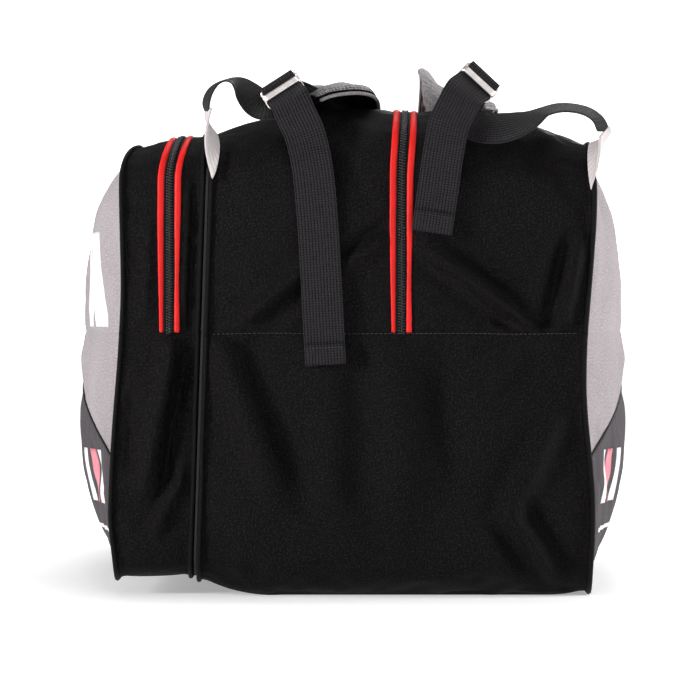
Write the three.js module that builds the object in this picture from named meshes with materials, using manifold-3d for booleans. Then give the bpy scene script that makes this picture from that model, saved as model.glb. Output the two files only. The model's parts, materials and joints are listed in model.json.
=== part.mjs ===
// Two-compartment hockey equipment bag with padded carry straps.
// Millimetres, +Z up. +Y runs along the bag, from the front end to the rear end.
// The narrow side compartment is on -X and the main compartment on +X.
// The origin is on the ground, under the middle of the bag.
import * as THREE from "three";
import { mergeVertices } from "three/addons/utils/BufferGeometryUtils.js";
import Module from "manifold-3d";

const wasm = await Module();
wasm.setup();

// ---- Driving dimensions ----
const FOLD_Z = 246; // the seam where both zips end, and the line that the outer walls fold on
const TOP_CORNER = 36; // radius of the panels' upper corners
const BOTTOM_CORNER = 24; // radius of the panels' lower corners
const CLOTH = 2.6; // thickness of a lined panel
const PANEL_INSET = 3.4; // how far a face panel's edge lies inside the gusset around it
const SEAM_GAP = 0.4; // clearance between two sewn pieces
const PIPING_RADIUS = 2.6;
const PIPING_RISE = 3.0; // from a panel's outline out to the middle of its piping
const FACE_BULGE = 51; // how far a full bag's faces stand out past their piping
const FACE_FLATNESS = 3.2; // the power of the bulge along the bag
const CROWN_FLATNESS = 2.6; // the power of a gusset's crown across its width
const KICK_END_Z = 127; // height of the dark lower panel at the ends of the bag
const KICK_RISE = 75; // how much higher it stands at the middle

const MAIN_ZIP_X = [48, 52]; // on the ends of the bag, and along its top
const SIDE_ZIP_X = [-168, -158];
const ZIP_TRIM_OUTER = 11.4; // from the zip's middle to the outer edge of its red trim
const ZIP_TRIM_INNER = 4.6;
const ZIP_TRIM_LIFT = 1.0;
const ZIP_CHAIN_LIFT = 0.3;
const CHAIN_GAP = 0.2; // half the clearance between the two rows of teeth

const WEBBING_WIDTH = 38;
const WEBBING = 1.8; // thickness of the strap webbing
const PAD_WIDTH = 76;
const PAD = 9; // thickness of a shoulder pad

const { lerp, smoothstep, clamp, degToRad } = THREE.MathUtils;

// ---- Materials ----
const cloth = (color, roughness = 0.85) => new THREE.MeshStandardMaterial({ color, roughness });
const materials = {
  black: cloth(0x171518),
  grey: cloth(0xa39ca0),
  charcoal: cloth(0x3d383c),
  red: cloth(0xd5231c, 0.6),
  zip: cloth(0x0e0e10, 0.5),
  piping: cloth(0x121114),
  webbing: cloth(0x222125, 0.7),
  tab: cloth(0xb9b1b3),
  pad: cloth(0x6c686b, 0.95),
  metal: new THREE.MeshStandardMaterial({ color: 0xc9c4c2, roughness: 0.25, metalness: 1 }),
  slider: new THREE.MeshStandardMaterial({ color: 0x2a2a2c, roughness: 0.35, metalness: 0.9 }),
};

const bag = new THREE.Group();

function add(name, geometry, material) {
  const mesh = new THREE.Mesh(geometry, material);
  mesh.name = name;
  bag.add(mesh);
  return mesh;
}

// ---- Solids bent out of a box or a cylinder ----

// Moves each vertex of a unit-sized geometry to place(x, y, z), a THREE.Vector3.
function warp(geometry, place) {
  const position = geometry.getAttribute("position");
  for (let i = 0; i < position.count; i++) {
    const p = place(position.getX(i), position.getY(i), position.getZ(i));
    position.setXYZ(i, p.x, p.y, p.z);
  }
  geometry.computeVertexNormals();
  return geometry;
}

function normalOf(surface, u, v) {
  const step = 1e-3;
  const along = surface(Math.min(u + step, 1), v).sub(surface(Math.max(u - step, 0), v));
  const across = surface(u, Math.min(v + step, 1)).sub(surface(u, Math.max(v - step, 0)));
  return along.cross(across).normalize();
}

// A sheet whose outer face is surface(u, v), with u and v from 0 to 1 and u x v pointing out.
function sheet(surface, columns, rows, thickness) {
  return warp(new THREE.BoxGeometry(1, 1, 1, columns, rows, 1), (x, y, z) => {
    const [u, v] = [x + 0.5, y + 0.5];
    return surface(u, v).addScaledVector(normalOf(surface, u, v), (z - 0.5) * thickness);
  });
}

// A round cord of six sides whose middle line is centre(u), for a line in a plane of constant x.
function cord(centre, steps, radius) {
  const step = 1e-3;
  const xAxis = new THREE.Vector3(1, 0, 0);
  return warp(new THREE.CylinderGeometry(1, 1, 1, 6, steps), (x, y, z) => {
    const u = y + 0.5;
    const along = centre(Math.min(u + step, 1)).sub(centre(Math.max(u - step, 0)));
    const out = xAxis.clone().cross(along).normalize();
    return centre(u)
      .addScaledVector(xAxis, x * radius)
      .addScaledVector(out, z * radius);
  });
}

// The middle line and the across direction of a strap. Each station is a place on the line and the
// direction across the strap there.
function strapFrame(stations) {
  const line = new THREE.CatmullRomCurve3(stations.map(([place]) => new THREE.Vector3(...place)));
  const turns = new THREE.CatmullRomCurve3(stations.map(([, side]) => new THREE.Vector3(...side)));
  return (u) => {
    const along = line.getTangent(u);
    const across = turns.getPoint(u);
    across.addScaledVector(along, -across.dot(along)).normalize();
    return { at: line.getPoint(u), across, out: across.clone().cross(along) };
  };
}

function ribbon(stations, steps, width, thickness) {
  const frame = strapFrame(stations);
  return warp(new THREE.BoxGeometry(1, 1, 1, steps, 1, 1), (x, y, z) => {
    const { at, across, out } = frame(x + 0.5);
    return at.addScaledVector(across, -y * width).addScaledVector(out, z * thickness);
  });
}

// Joins two closed geometries into one solid.
function join(a, b) {
  const solid = (geometry) => {
    const bare = geometry.index ? geometry.toNonIndexed() : geometry.clone();
    const merged = mergeVertices(
      new THREE.BufferGeometry().setAttribute("position", bare.getAttribute("position")),
    );
    return new wasm.Manifold(
      new wasm.Mesh({
        numProp: 3,
        vertProperties: merged.getAttribute("position").array,
        triVerts: new Uint32Array(merged.index.array),
      }),
    );
  };
  const mesh = solid(a).add(solid(b)).getMesh();
  const positions = new THREE.BufferAttribute(new Float32Array(mesh.vertProperties), 3);
  return new THREE.BufferGeometry()
    .setAttribute("position", positions)
    .setIndex(new THREE.BufferAttribute(mesh.triVerts, 1));
}

// ---- The sewn outlines ----

// x as a smooth wave over height, through its high and low points, each [z, x].
function wave(points) {
  return (z) => {
    const next = points.findIndex(([height]) => z < height);
    if (next === 0) return points[0][1];
    if (next < 0) return points.at(-1)[1];
    const [[z0, x0], [z1, x1]] = [points[next - 1], points[next]];
    return lerp(x0, x1, smoothstep(z, z0, z1));
  };
}

const FRONT_LEAN = 16; // how far the front face's upper edge leans in, round an arc
const FRONT_LEAN_START = 385;

const frontSide = wave([[15, -217], [80, -222], [290, -210], [385, -212]]);
const frontX = (z) => {
  const share = clamp((z - FRONT_LEAN_START) / (417 - FRONT_LEAN_START), 0, 1);
  return frontSide(z) + FRONT_LEAN * (1 - Math.sqrt(1 - share ** 2));
};
const backX = wave([[6, 222], [70, 225], [200, 216.5], [375, 226], [425, 222]]);
const dividerX = (z) => -145.5 + 14 * (z / 430);

// Each outline is the rounded rectangle, in a plane across the bag, that a gusset is sewn to.
const outlines = {
  front: { x: frontX, half: 444, bottom: 18, top: 417 },
  sideInner: { x: (z) => dividerX(z) - 4.2, half: 444, bottom: 20, top: 428 },
  mainInner: { x: (z) => dividerX(z) + 3.6, half: 450, bottom: 17, top: 430 },
  back: { x: backX, half: 450, bottom: 5.8, top: 420 },
};

const OVER = 1; // a walk over the top
const UNDER = -1; // a walk under the bottom
const WALL_SHARE = 0.15; // the share of a walk that each wall, each corner and half the run take
const CORNER_SHARE = 0.2;
const WALK_STEPS = 20;

// Walks an outline from the front fold line to the rear one. s runs from 0 to 1 over a wall, a
// corner, the long run, a corner and a wall. Gives y and z, and the outward direction there.
function walk(outline, s, way) {
  const radius = way === OVER ? TOP_CORNER : BOTTOM_CORNER;
  const run = way === OVER ? outline.top : outline.bottom;
  const mirror = s > 0.5 ? -1 : 1;
  const q = s > 0.5 ? 1 - s : s;
  const cornerZ = run - way * radius;
  const angle = clamp((q - WALL_SHARE) / CORNER_SHARE, 0, 1) * (Math.PI / 2);
  const onWall = clamp(q / WALL_SHARE, 0, 1);
  const onRun = clamp((q - WALL_SHARE - CORNER_SHARE) / WALL_SHARE, 0, 1);
  const y = -outline.half + radius * (1 - Math.cos(angle)) + (outline.half - radius) * onRun;
  const z = lerp(FOLD_Z, cornerZ, onWall) + way * radius * Math.sin(angle);
  return { y: y * mirror, z, outY: -Math.cos(angle) * mirror, outZ: way * Math.sin(angle) };
}

// ---- Gussets: the strips between two outlines ----

const crownShape = (f) => 1 - Math.abs(2 * f - 1) ** CROWN_FLATNESS;

// How far along a corner a walk is: 0 on the wall, 1 on the run.
const cornerShare = (s) => smoothstep(Math.min(s, 1 - s), WALL_SHARE, WALL_SHARE + CORNER_SHARE);

// The main compartment's floor hangs from its two seams down to the ground, and lies flat there.
function mainSag(f) {
  const [left, right] = [outlines.mainInner.bottom, outlines.back.bottom];
  const height = left * clamp(1 - f / 0.2, 0, 1) ** 2 + right * clamp((f - 0.9) / 0.1, 0, 1) ** 2;
  return lerp(left, right, f) - height;
}

const crowns = {
  mainOver: (s, f) => lerp(12, 28, cornerShare(s)) * crownShape(f),
  mainUnder: (s, f) => lerp(12 * crownShape(f), mainSag(f), cornerShare(s)),
  sideOver: (s, f) => 5 * crownShape(f),
  sideUnder: (s, f) => lerp(5, 2, cornerShare(s)) * crownShape(f),
};

// A point of a gusset at s along the walk and at x across, and lift above its surface.
function gusset(left, right, way, crown) {
  const edges = (s) => [walk(left, s, way), walk(right, s, way)];
  const at = (s, f, lift = 0) => {
    const [a, b] = edges(s);
    const out = crown(s, f) + lift;
    return new THREE.Vector3(
      lerp(left.x(a.z), right.x(b.z), f),
      lerp(a.y, b.y, f) + a.outY * out,
      lerp(a.z, b.z, f) + a.outZ * out,
    );
  };
  const shareAt = (s, x) => {
    const [a, b] = edges(s);
    return (x - left.x(a.z)) / (right.x(b.z) - left.x(a.z));
  };
  return { at, shareAt };
}

const mainOver = gusset(outlines.mainInner, outlines.back, OVER, crowns.mainOver);
const mainUnder = gusset(outlines.mainInner, outlines.back, UNDER, crowns.mainUnder);
const sideOver = gusset(outlines.front, outlines.sideInner, OVER, crowns.sideOver);
const sideUnder = gusset(outlines.front, outlines.sideInner, UNDER, crowns.sideUnder);

const FOLD_GAP = 0.0006; // the share of a walk left open at each fold line

// A strip over the top between two edges, each a share of the width or a function of s.
function overStrip(surface, leftEdge, rightEdge, rows, thickness, lift = 0) {
  const edge = (value, s) => (typeof value === "function" ? value(s) : value);
  return sheet(
    (u, v) => {
      const s = lerp(FOLD_GAP, 1 - FOLD_GAP, u);
      return surface.at(s, lerp(edge(rightEdge, s), edge(leftEdge, s), v), lift);
    },
    WALK_STEPS,
    rows,
    thickness,
  );
}

// The zip gusset's two halves, and the trim and the half of the chain that each carries.
function addZipGusset(prefix, surface, [endX, topX], rows) {
  const zipX = (s) => lerp(endX, topX, cornerShare(s));
  const offset = (distance) => (s) => surface.shareAt(s, zipX(s) + distance);
  const halves = [
    ["left", 0, offset(-ZIP_TRIM_OUTER - SEAM_GAP), -1],
    ["right", offset(ZIP_TRIM_OUTER + SEAM_GAP), 1, 1],
  ];
  for (const [side, leftEdge, rightEdge, sign] of halves) {
    const strip = overStrip(surface, leftEdge, rightEdge, rows, CLOTH);
    add(`${prefix}_gusset_${side}`, strip, materials.black);
    const trim = [offset(sign * ZIP_TRIM_OUTER), offset(sign * ZIP_TRIM_INNER)];
    const chain = [offset(sign * (ZIP_TRIM_INNER - SEAM_GAP)), offset(sign * CHAIN_GAP)];
    if (sign > 0) {
      trim.reverse();
      chain.reverse();
    }
    const trimStrip = overStrip(surface, ...trim, 1, CLOTH, ZIP_TRIM_LIFT);
    add(`${prefix}_zip_trim_${side}`, trimStrip, materials.red);
    const chainStrip = overStrip(surface, ...chain, 1, CLOTH, ZIP_CHAIN_LIFT);
    add(`${prefix}_zip_chain_${side}`, chainStrip, materials.zip);
  }
}

// The lower gusset: an end wall at the front and the rear, and the floor between them.
function addLowerGusset(prefix, surface, rows) {
  const cornerEnd = WALL_SHARE + CORNER_SHARE;
  const spans = [
    ["end_front_lower", FOLD_GAP, cornerEnd, 7],
    ["floor", cornerEnd + FOLD_GAP, 1 - cornerEnd - FOLD_GAP, 6],
    ["end_rear_lower", 1 - cornerEnd, 1 - FOLD_GAP, 7],
  ];
  for (const [name, from, to, steps] of spans) {
    const strip = sheet((u, v) => surface.at(lerp(from, to, u), v), steps, rows, CLOTH);
    add(`${prefix}_${name}`, strip, materials.black);
  }
}

// ---- Faces: the front and back of the bag, and the divider between the compartments ----

// y along a face's edge, and how far a rounded corner takes the edge in there, for u from 0 to 1.
function edgeAt(u, half, radius) {
  const q = Math.min(u, 1 - u);
  const angle = clamp(q / 0.25, 0, 1) * (Math.PI / 2);
  const reach = half - radius * (1 - Math.cos(angle)) - (half - radius) * clamp(4 * q - 1, 0, 1);
  return { y: (u < 0.5 ? -1 : 1) * reach, corner: radius * (1 - Math.sin(angle)) };
}

const kickZ = (y, half) => KICK_END_Z + KICK_RISE * (1 - Math.abs(y / half) ** 2.2);

// A face's surface between a lower and an upper edge. peak moves the fullest height up or down.
function addFace(prefix, outline, sign, peak) {
  const half = outline.half - PANEL_INSET;
  const bottom = outline.bottom + PANEL_INSET;
  const top = outline.top - PANEL_INSET;
  const faceX = (y, z) => {
    const share = clamp((z - bottom) / (top - bottom), 0, 1);
    const up = Math.sin(Math.PI * share ** peak) ** 0.9;
    return outline.x(z) + sign * FACE_BULGE * (1 - Math.abs(y / outline.half) ** FACE_FLATNESS) * up;
  };
  const between = (edge, lowZ, highZ) => (u, v) => {
    const { y, corner } = edge(sign > 0 ? u : 1 - u);
    const z = lerp(lowZ(y, corner), highZ(y, corner), v);
    return new THREE.Vector3(faceX(y, z), y, z);
  };
  const topEdge = (u) => edgeAt(u, half, TOP_CORNER - PANEL_INSET);
  const bottomEdge = (u) => edgeAt(u, half, BOTTOM_CORNER - PANEL_INSET);
  const upper = between(topEdge, () => FOLD_Z + SEAM_GAP, (y, corner) => top - corner);
  const band = between(bottomEdge, (y) => kickZ(y, half) + SEAM_GAP, () => FOLD_Z - SEAM_GAP);
  const kick = between(bottomEdge, (y, corner) => bottom + corner, (y) => kickZ(y, half));
  add(`${prefix}_panel_upper`, sheet(upper, 16, 6, CLOTH), materials.grey);
  add(`${prefix}_panel_lower`, sheet(band, 16, 2, CLOTH), materials.grey);
  add(`${prefix}_kick_panel`, sheet(kick, 16, 4, CLOTH), materials.charcoal);
}

function addDivider() {
  const { half, bottom, top } = outlines.mainInner;
  const surface = (u, v) => {
    const upperEdge = edgeAt(u, half, TOP_CORNER);
    const z = lerp(bottom + upperEdge.corner / 2, top - upperEdge.corner, v);
    return new THREE.Vector3(dividerX(z) + CLOTH / 2, upperEdge.y, z);
  };
  add("divider_panel", sheet(surface, 16, 4, CLOTH), materials.black);
}

// ---- Piping: a cord in each seam around a face ----

function pipingLine(outline, shift, way) {
  return (s) => {
    const { y, z, outY, outZ } = walk(outline, s, way);
    const x = outline.x(z) + shift;
    return new THREE.Vector3(x, y + outY * PIPING_RISE, z + outZ * PIPING_RISE);
  };
}

function addOpenPiping(prefix, outline, shift) {
  for (const [part, way] of [["upper", OVER], ["lower", UNDER]]) {
    const line = pipingLine(outline, shift, way);
    const kept = (u) => line(lerp(FOLD_GAP, 1 - FOLD_GAP, u));
    add(`${prefix}_piping_${part}`, cord(kept, WALK_STEPS, PIPING_RADIUS), materials.piping);
  }
}

// A piping that runs the whole way round, with its two ends just apart at the front fold line.
function addLoopPiping(name, outline, shift) {
  const [over, under] = [OVER, UNDER].map((way) => pipingLine(outline, shift, way));
  const loop = (u) => (u <= 0.5 ? over(lerp(FOLD_GAP, 1, 2 * u)) : under(lerp(1, FOLD_GAP, 2 * u - 1)));
  add(name, cord(loop, 2 * WALK_STEPS, PIPING_RADIUS), materials.piping);
}

// ---- Zip sliders and their pulls ----

const SLIDER_LENGTH = 22;
const SLIDER_CLEARANCE = 0.6; // over the trims
const PLATE = 2.2;
const BRIDGE_HALF = 6.5; // half the length of the bridge that the pull hangs on
const BRIDGE_HEIGHT = 6;
const BRIDGE_SLOT = 2.8;
const BRIDGE_WIDTH = 4;
const PULL_LENGTH = 40;
const PULL_WIDTH = 10;
const PULL = 1.6;

const sliderBaseZ = (surfaceZ) => surfaceZ + ZIP_TRIM_LIFT + SLIDER_CLEARANCE;
const pullAxisZ = (surfaceZ) => sliderBaseZ(surfaceZ) + PLATE + BRIDGE_SLOT / 2 + 0.3;

// A flat outline in x and y, drawn up from z = 0.
function plate(shape, thickness) {
  return new THREE.ExtrudeGeometry(shape, { depth: thickness, bevelEnabled: false });
}

function rectangle(x0, y0, x1, y1, Kind = THREE.Shape) {
  return new Kind([
    new THREE.Vector2(x0, y0),
    new THREE.Vector2(x1, y0),
    new THREE.Vector2(x1, y1),
    new THREE.Vector2(x0, y1),
  ]);
}

function sliderGeometry() {
  const half = SLIDER_LENGTH / 2;
  const outline = new THREE.Shape([
    new THREE.Vector2(-4.2, -half),
    new THREE.Vector2(4.2, -half),
    new THREE.Vector2(6.2, half - 6),
    new THREE.Vector2(5.2, half),
    new THREE.Vector2(-5.2, half),
    new THREE.Vector2(-6.2, half - 6),
  ]);
  const bridge = rectangle(-BRIDGE_HALF, 0, BRIDGE_HALF, BRIDGE_HEIGHT);
  bridge.holes.push(rectangle(-BRIDGE_HALF + 1.6, 1.2, BRIDGE_HALF - 1.6, 1.2 + BRIDGE_SLOT, THREE.Path));
  // The bridge is drawn in y and z, and stands on the plate.
  const standing = plate(bridge, BRIDGE_WIDTH).translate(0, 0, -BRIDGE_WIDTH / 2);
  standing.rotateX(Math.PI / 2).rotateZ(Math.PI / 2).translate(0, 0, PLATE - 0.9);
  return join(plate(outline, PLATE), standing);
}

// The pull lies along -y from the bar that passes through the bridge, at y = 0 and z = 0.
function pullGeometry() {
  const half = PULL_WIDTH / 2;
  const shape = rectangle(-half, -PULL_LENGTH, half, 0.9);
  shape.holes.push(rectangle(-half + 1.8, -8.5, half - 1.8, -0.9, THREE.Path));
  return plate(shape, PULL).translate(0, 0, -PULL / 2);
}

const SLIDER_REST = 15; // from the middle of the bag to each of the two sliders that meet there

function addSliders(prefix, [, zipX], surface) {
  const heightAt = (x) => surface.at(0.5, surface.shareAt(0.5, x)).z;
  const surfaceZ = heightAt(zipX);
  const tilt = Math.atan2(heightAt(zipX + 6) - heightAt(zipX - 6), 12);
  for (const [end, sign] of [["front", -1], ["rear", 1]]) {
    const turn = sign > 0 ? Math.PI : 0; // each slider closes towards the middle
    const slider = add(`${prefix}_slider_${end}`, sliderGeometry(), materials.slider);
    slider.position.set(zipX, sign * SLIDER_REST, sliderBaseZ(surfaceZ));
    slider.rotation.set(0, -tilt, turn);
    const pull = add(`${prefix}_pull_${end}`, pullGeometry(), materials.slider);
    pull.position.set(zipX, sign * SLIDER_REST, pullAxisZ(surfaceZ));
    pull.rotation.set(0, -tilt, turn);
  }
}

// ---- Carry straps ----

// A tab sewn around the corner of a seam, that narrows its twist towards the webbing.
function tabGeometry(seamX, seamTopZ, spread, tipNear, tipFar, bulge) {
  const centreZ = seamTopZ - TOP_CORNER;
  const radius = TOP_CORNER + PIPING_RISE + PIPING_RADIUS + 3;
  const seam = (u) => {
    const angle = degToRad(lerp(-8, spread, u));
    const y = -450 + TOP_CORNER - radius * Math.cos(angle);
    return new THREE.Vector3(seamX, y, centreZ + radius * Math.sin(angle));
  };
  const tip = (u) => new THREE.Vector3(...tipNear).lerp(new THREE.Vector3(...tipFar), u);
  return (u, v) => {
    const place = seam(u).lerp(tip(u), v);
    place.x += bulge * Math.sin(Math.PI * v) * (1 - 0.5 * u);
    return place;
  };
}

const mirrorY = ([x, y, z]) => [x, -y, z];

function addTabs(side, surface) {
  // u and v are swapped at the rear, so that the mirrored sheet still faces out.
  const rear = (u, v) => {
    const place = surface(v, u);
    place.y = -place.y;
    return place;
  };
  add(`${side}_tab_front`, sheet(surface, 4, 5, WEBBING), materials.tab);
  add(`${side}_tab_rear`, sheet(rear, 5, 4, WEBBING), materials.tab);
}

const ADJUSTER_LENGTH = 44;
const ADJUSTER_DEPTH = 25;
const ADJUSTER = 3;

// A flat slide with a bar across its middle. tilt is the bar's angle in the plane of the end.
function addAdjuster(name, at, tilt) {
  const [half, deep] = [ADJUSTER_LENGTH / 2, ADJUSTER_DEPTH / 2];
  const shape = rectangle(-half, -deep, half, deep);
  shape.holes.push(rectangle(-half + 2.6, -deep + 3, half - 2.6, -2.6, THREE.Path));
  shape.holes.push(rectangle(-half + 2.6, 2.6, half - 2.6, deep - 3, THREE.Path));
  const slide = add(name, plate(shape, ADJUSTER).translate(0, 0, -ADJUSTER / 2), materials.metal);
  slide.position.set(...at);
  slide.rotation.set(Math.PI / 2, tilt, 0, "YXZ");
}

// A shoulder pad: a strap that narrows at both ends. rise(u, w) lifts it, with w from -1 to 1 across.
function padGeometry(stations, rise) {
  const frame = strapFrame(stations);
  const widthAt = (u) => PAD_WIDTH * lerp(0.56, 1, smoothstep(Math.min(u, 1 - u), 0, 0.13));
  const surface = (u, v) => {
    const { at, across, out } = frame(u);
    at.addScaledVector(across, (0.5 - v) * widthAt(u));
    return at.addScaledVector(out, rise(u, 1 - 2 * v) + PAD / 2);
  };
  return sheet(surface, 18, 6, PAD);
}

const strapRoutes = {
  left: {
    // From the front tab up, over and down behind the adjuster.
    webbing: [
      [[-132, -444.5, 457.4], [-0.1, 1, 0.04]],
      [[-133.5, -444, 464], [-0.22, 0.96, 0]],
      [[-129.5, -443, 472.5], [-0.2, 0.97, 0.05]],
      [[-122, -442, 478.5], [-0.05, 0.99, 0.08]],
      [[-113, -441, 480.5], [0.15, 0.98, 0.1]],
      [[-104, -440, 477], [0.35, 0.9, 0.25]],
      [[-96, -439, 469], [0.5, 0.75, 0.4]],
      [[-88, -438, 461], [0.55, 0.65, 0.5]],
      [[-81, -436, 455.5], [0.6, 0.65, 0.4]],
      [[-74, -434, 454], [0.6, 0.7, 0.3]],
    ],
    tail: [
      [[-58, -451, 468], [0.86, 0, 0.5]],
      [[-55, -454, 461], [0.9, 0, 0.42]],
      [[-50, -457, 450], [0.94, 0, 0.33]],
      [[-42, -460.5, 430], [0.97, 0, 0.22]],
      [[-35, -463.4, 400], [0.99, 0, 0.12]],
      [[-30, -464.4, 350], [1, 0, 0.06]],
      [[-27, -464.6, 300], [1, 0, 0.05]],
      [[-24.5, -464.6, 252], [1, 0, 0.05]],
      [[-22.5, -464.6, 216], [1, 0, 0.05]],
    ],
    loop: [
      [[-71, -440, 484], [0.84, 0, 0.54]],
      [[-64, -439.5, 473], [0.84, 0, 0.54]],
      [[-57, -437, 466], [0.86, -0.05, 0.48]],
      [[-49, -434, 463.5], [0.92, -0.15, 0.3]],
    ],
    pad: [
      [[-41, -433, 462], [0.9, -0.4, 0.2]],
      [[-27, -402, 466], [0.93, -0.35, 0.02]],
      [[-10, -360, 463], [0.97, -0.2, -0.05]],
      [[-4, -300, 461.5], [0.99, -0.1, -0.02]],
      [[-8, -190, 460], [1, 0.03, 0]],
      [[-20, -70, 459.5], [1, 0.1, 0.02]],
      [[-36, 50, 457.5], [0.99, 0.12, 0.08]],
      [[-44, 110, 457], [0.99, 0.12, 0.1]],
    ],
    rear: [
      [[-44.6, 114, 454], [0.99, 0.1, 0.1]],
      [[-54, 200, 450.5], [0.98, 0.15, 0.1]],
      [[-64, 290, 451], [0.95, 0.25, 0.12]],
      [[-74, 360, 455], [0.85, 0.45, 0.2]],
      [[-88, 408, 464], [0.6, 0.75, 0.2]],
      [[-104, 432, 472], [0.3, 0.93, 0.15]],
      [[-120, 442, 472], [0.05, 1, 0.05]],
      [[-131, 444.5, 465], [0.1, 1, 0]],
      [[-132, 444.5, 457.4], [0.1, 1, -0.04]],
    ],
  },
  right: {
    webbing: [
      [[236.5, -446.5, 435.6], [0.27, 0.9, 0.29]],
      [[232, -446, 444], [0.28, 0.92, 0.18]],
      [[222.5, -445, 451.5], [0.15, 0.95, 0.25]],
      [[209, -443, 455.5], [0.03, 0.96, 0.26]],
      [[195, -441, 456], [0, 0.96, 0.26]],
      [[181, -439, 452.5], [0.05, 0.93, 0.3]],
      [[165.5, -442, 447], [0.15, 0.85, 0.5]],
      [[149, -446, 442.5], [0.25, 0.74, 0.62]],
      [[133, -447.5, 441.5], [0.22, 0.72, 0.65]],
      [[118, -444, 444], [0.15, 0.72, 0.67]],
      [[109, -441.5, 447.5], [0.1, 0.72, 0.67]],
    ],
    tail: [
      [[112, -455.5, 471], [0.8, 0, -0.55]],
      [[105, -459, 466], [0.92, 0, -0.38]],
      [[98, -462, 457], [0.97, 0, -0.22]],
      [[92, -465, 440], [0.99, 0, -0.1]],
      [[86, -467.5, 410], [1, 0, -0.05]],
      [[81, -468.5, 375], [1, 0, -0.03]],
      [[75.5, -468.5, 338.5], [1, 0, -0.02]],
    ],
    loop: [
      [[129, -443.5, 490], [0.73, 0, -0.68]],
      [[120, -442.5, 479.5], [0.75, 0, -0.66]],
      [[113, -440, 474], [0.86, 0.04, -0.48]],
      [[107, -438, 469], [0.95, 0.08, -0.3]],
    ],
    pad: [
      [[108, -426, 462], [0.99, 0.12, -0.02]],
      [[104, -402, 461], [0.99, 0.1, 0]],
      [[102, -360, 461], [1, 0.02, -0.05]],
      [[104, -300, 460], [1, -0.05, -0.1]],
      [[108, -190, 456.5], [0.99, -0.06, -0.15]],
      [[118, -70, 454.5], [0.98, -0.08, -0.18]],
      [[130, 50, 454], [0.97, -0.1, -0.2]],
      [[137, 110, 453.5], [0.97, -0.1, -0.2]],
    ],
    rear: [
      [[137.4, 114, 450], [0.97, -0.1, -0.2]],
      [[148, 200, 447.5], [0.96, -0.15, -0.2]],
      [[162, 290, 446], [0.94, -0.25, -0.15]],
      [[178, 358, 449], [0.85, -0.45, -0.05]],
      [[196, 404, 457], [0.6, -0.75, 0]],
      [[213, 430, 461], [0.3, -0.93, 0.1]],
      [[228, 441, 455], [0.15, -0.95, 0.2]],
      [[235.5, 446, 443], [0.27, -0.9, 0.2]],
      [[236.5, 447, 437.4], [0.27, -0.9, 0.29]],
    ],
  },
};

// The left pad arches over its width near the front; the right pad's inner edge stands up there.
const nearFront = (u) => 1 - smoothstep(u, 0.1, 0.34);
const padRises = {
  left: (u, w) => 14 * (1 - w * w) * nearFront(u),
  right: (u, w) => 26 * Math.max(0, -w) ** 2 * nearFront(u),
};

function addStrap(side, adjusterAt, adjusterTilt) {
  const route = strapRoutes[side];
  const band = (stations, steps) => ribbon(stations, steps, WEBBING_WIDTH, WEBBING);
  add(`${side}_strap_webbing_front`, band(route.webbing, 20), materials.webbing);
  add(`${side}_strap_tail`, band(route.tail, 16), materials.webbing);
  add(`${side}_strap_adjuster_loop`, band(route.loop, 6), materials.webbing);
  add(`${side}_strap_pad`, padGeometry(route.pad, padRises[side]), materials.pad);
  add(`${side}_strap_webbing_rear`, band(route.rear, 20), materials.webbing);
  addAdjuster(`${side}_strap_adjuster`, adjusterAt, adjusterTilt);
}

// ---- The bag ----

addZipGusset("main", mainOver, MAIN_ZIP_X, 4);
addZipGusset("side", sideOver, SIDE_ZIP_X, 1);
addLowerGusset("main", mainUnder, 10);
addLowerGusset("side", sideUnder, 2);
addFace("front", outlines.front, -1, 1.15);
addFace("back", outlines.back, 1, 0.92);
addDivider();
addOpenPiping("front", outlines.front, -1.4);
addOpenPiping("back", outlines.back, 1.4);
addLoopPiping("side_divider_piping", outlines.sideInner, 0);
addLoopPiping("main_divider_piping", outlines.mainInner, 0);
addSliders("main", MAIN_ZIP_X, mainOver);
addSliders("side", SIDE_ZIP_X, sideOver);

const leftTab = tabGeometry(-128.5, 430, 66, [-128.5, -463, 450.5], [-135, -426, 452], -5);
const rightTab = tabGeometry(225, 420, 60, [231.5, -463, 425.6], [241.8, -430, 436.6], 8);
addTabs("left", leftTab);
addTabs("right", rightTab);
addStrap("left", [-64, -447, 473], degToRad(32.7));
addStrap("right", [120.4, -447, 480], degToRad(-43));

export default bag;
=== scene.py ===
"""The looks of the two-compartment hockey equipment bag: sewn fabric, zips, straps and pads."""

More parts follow.
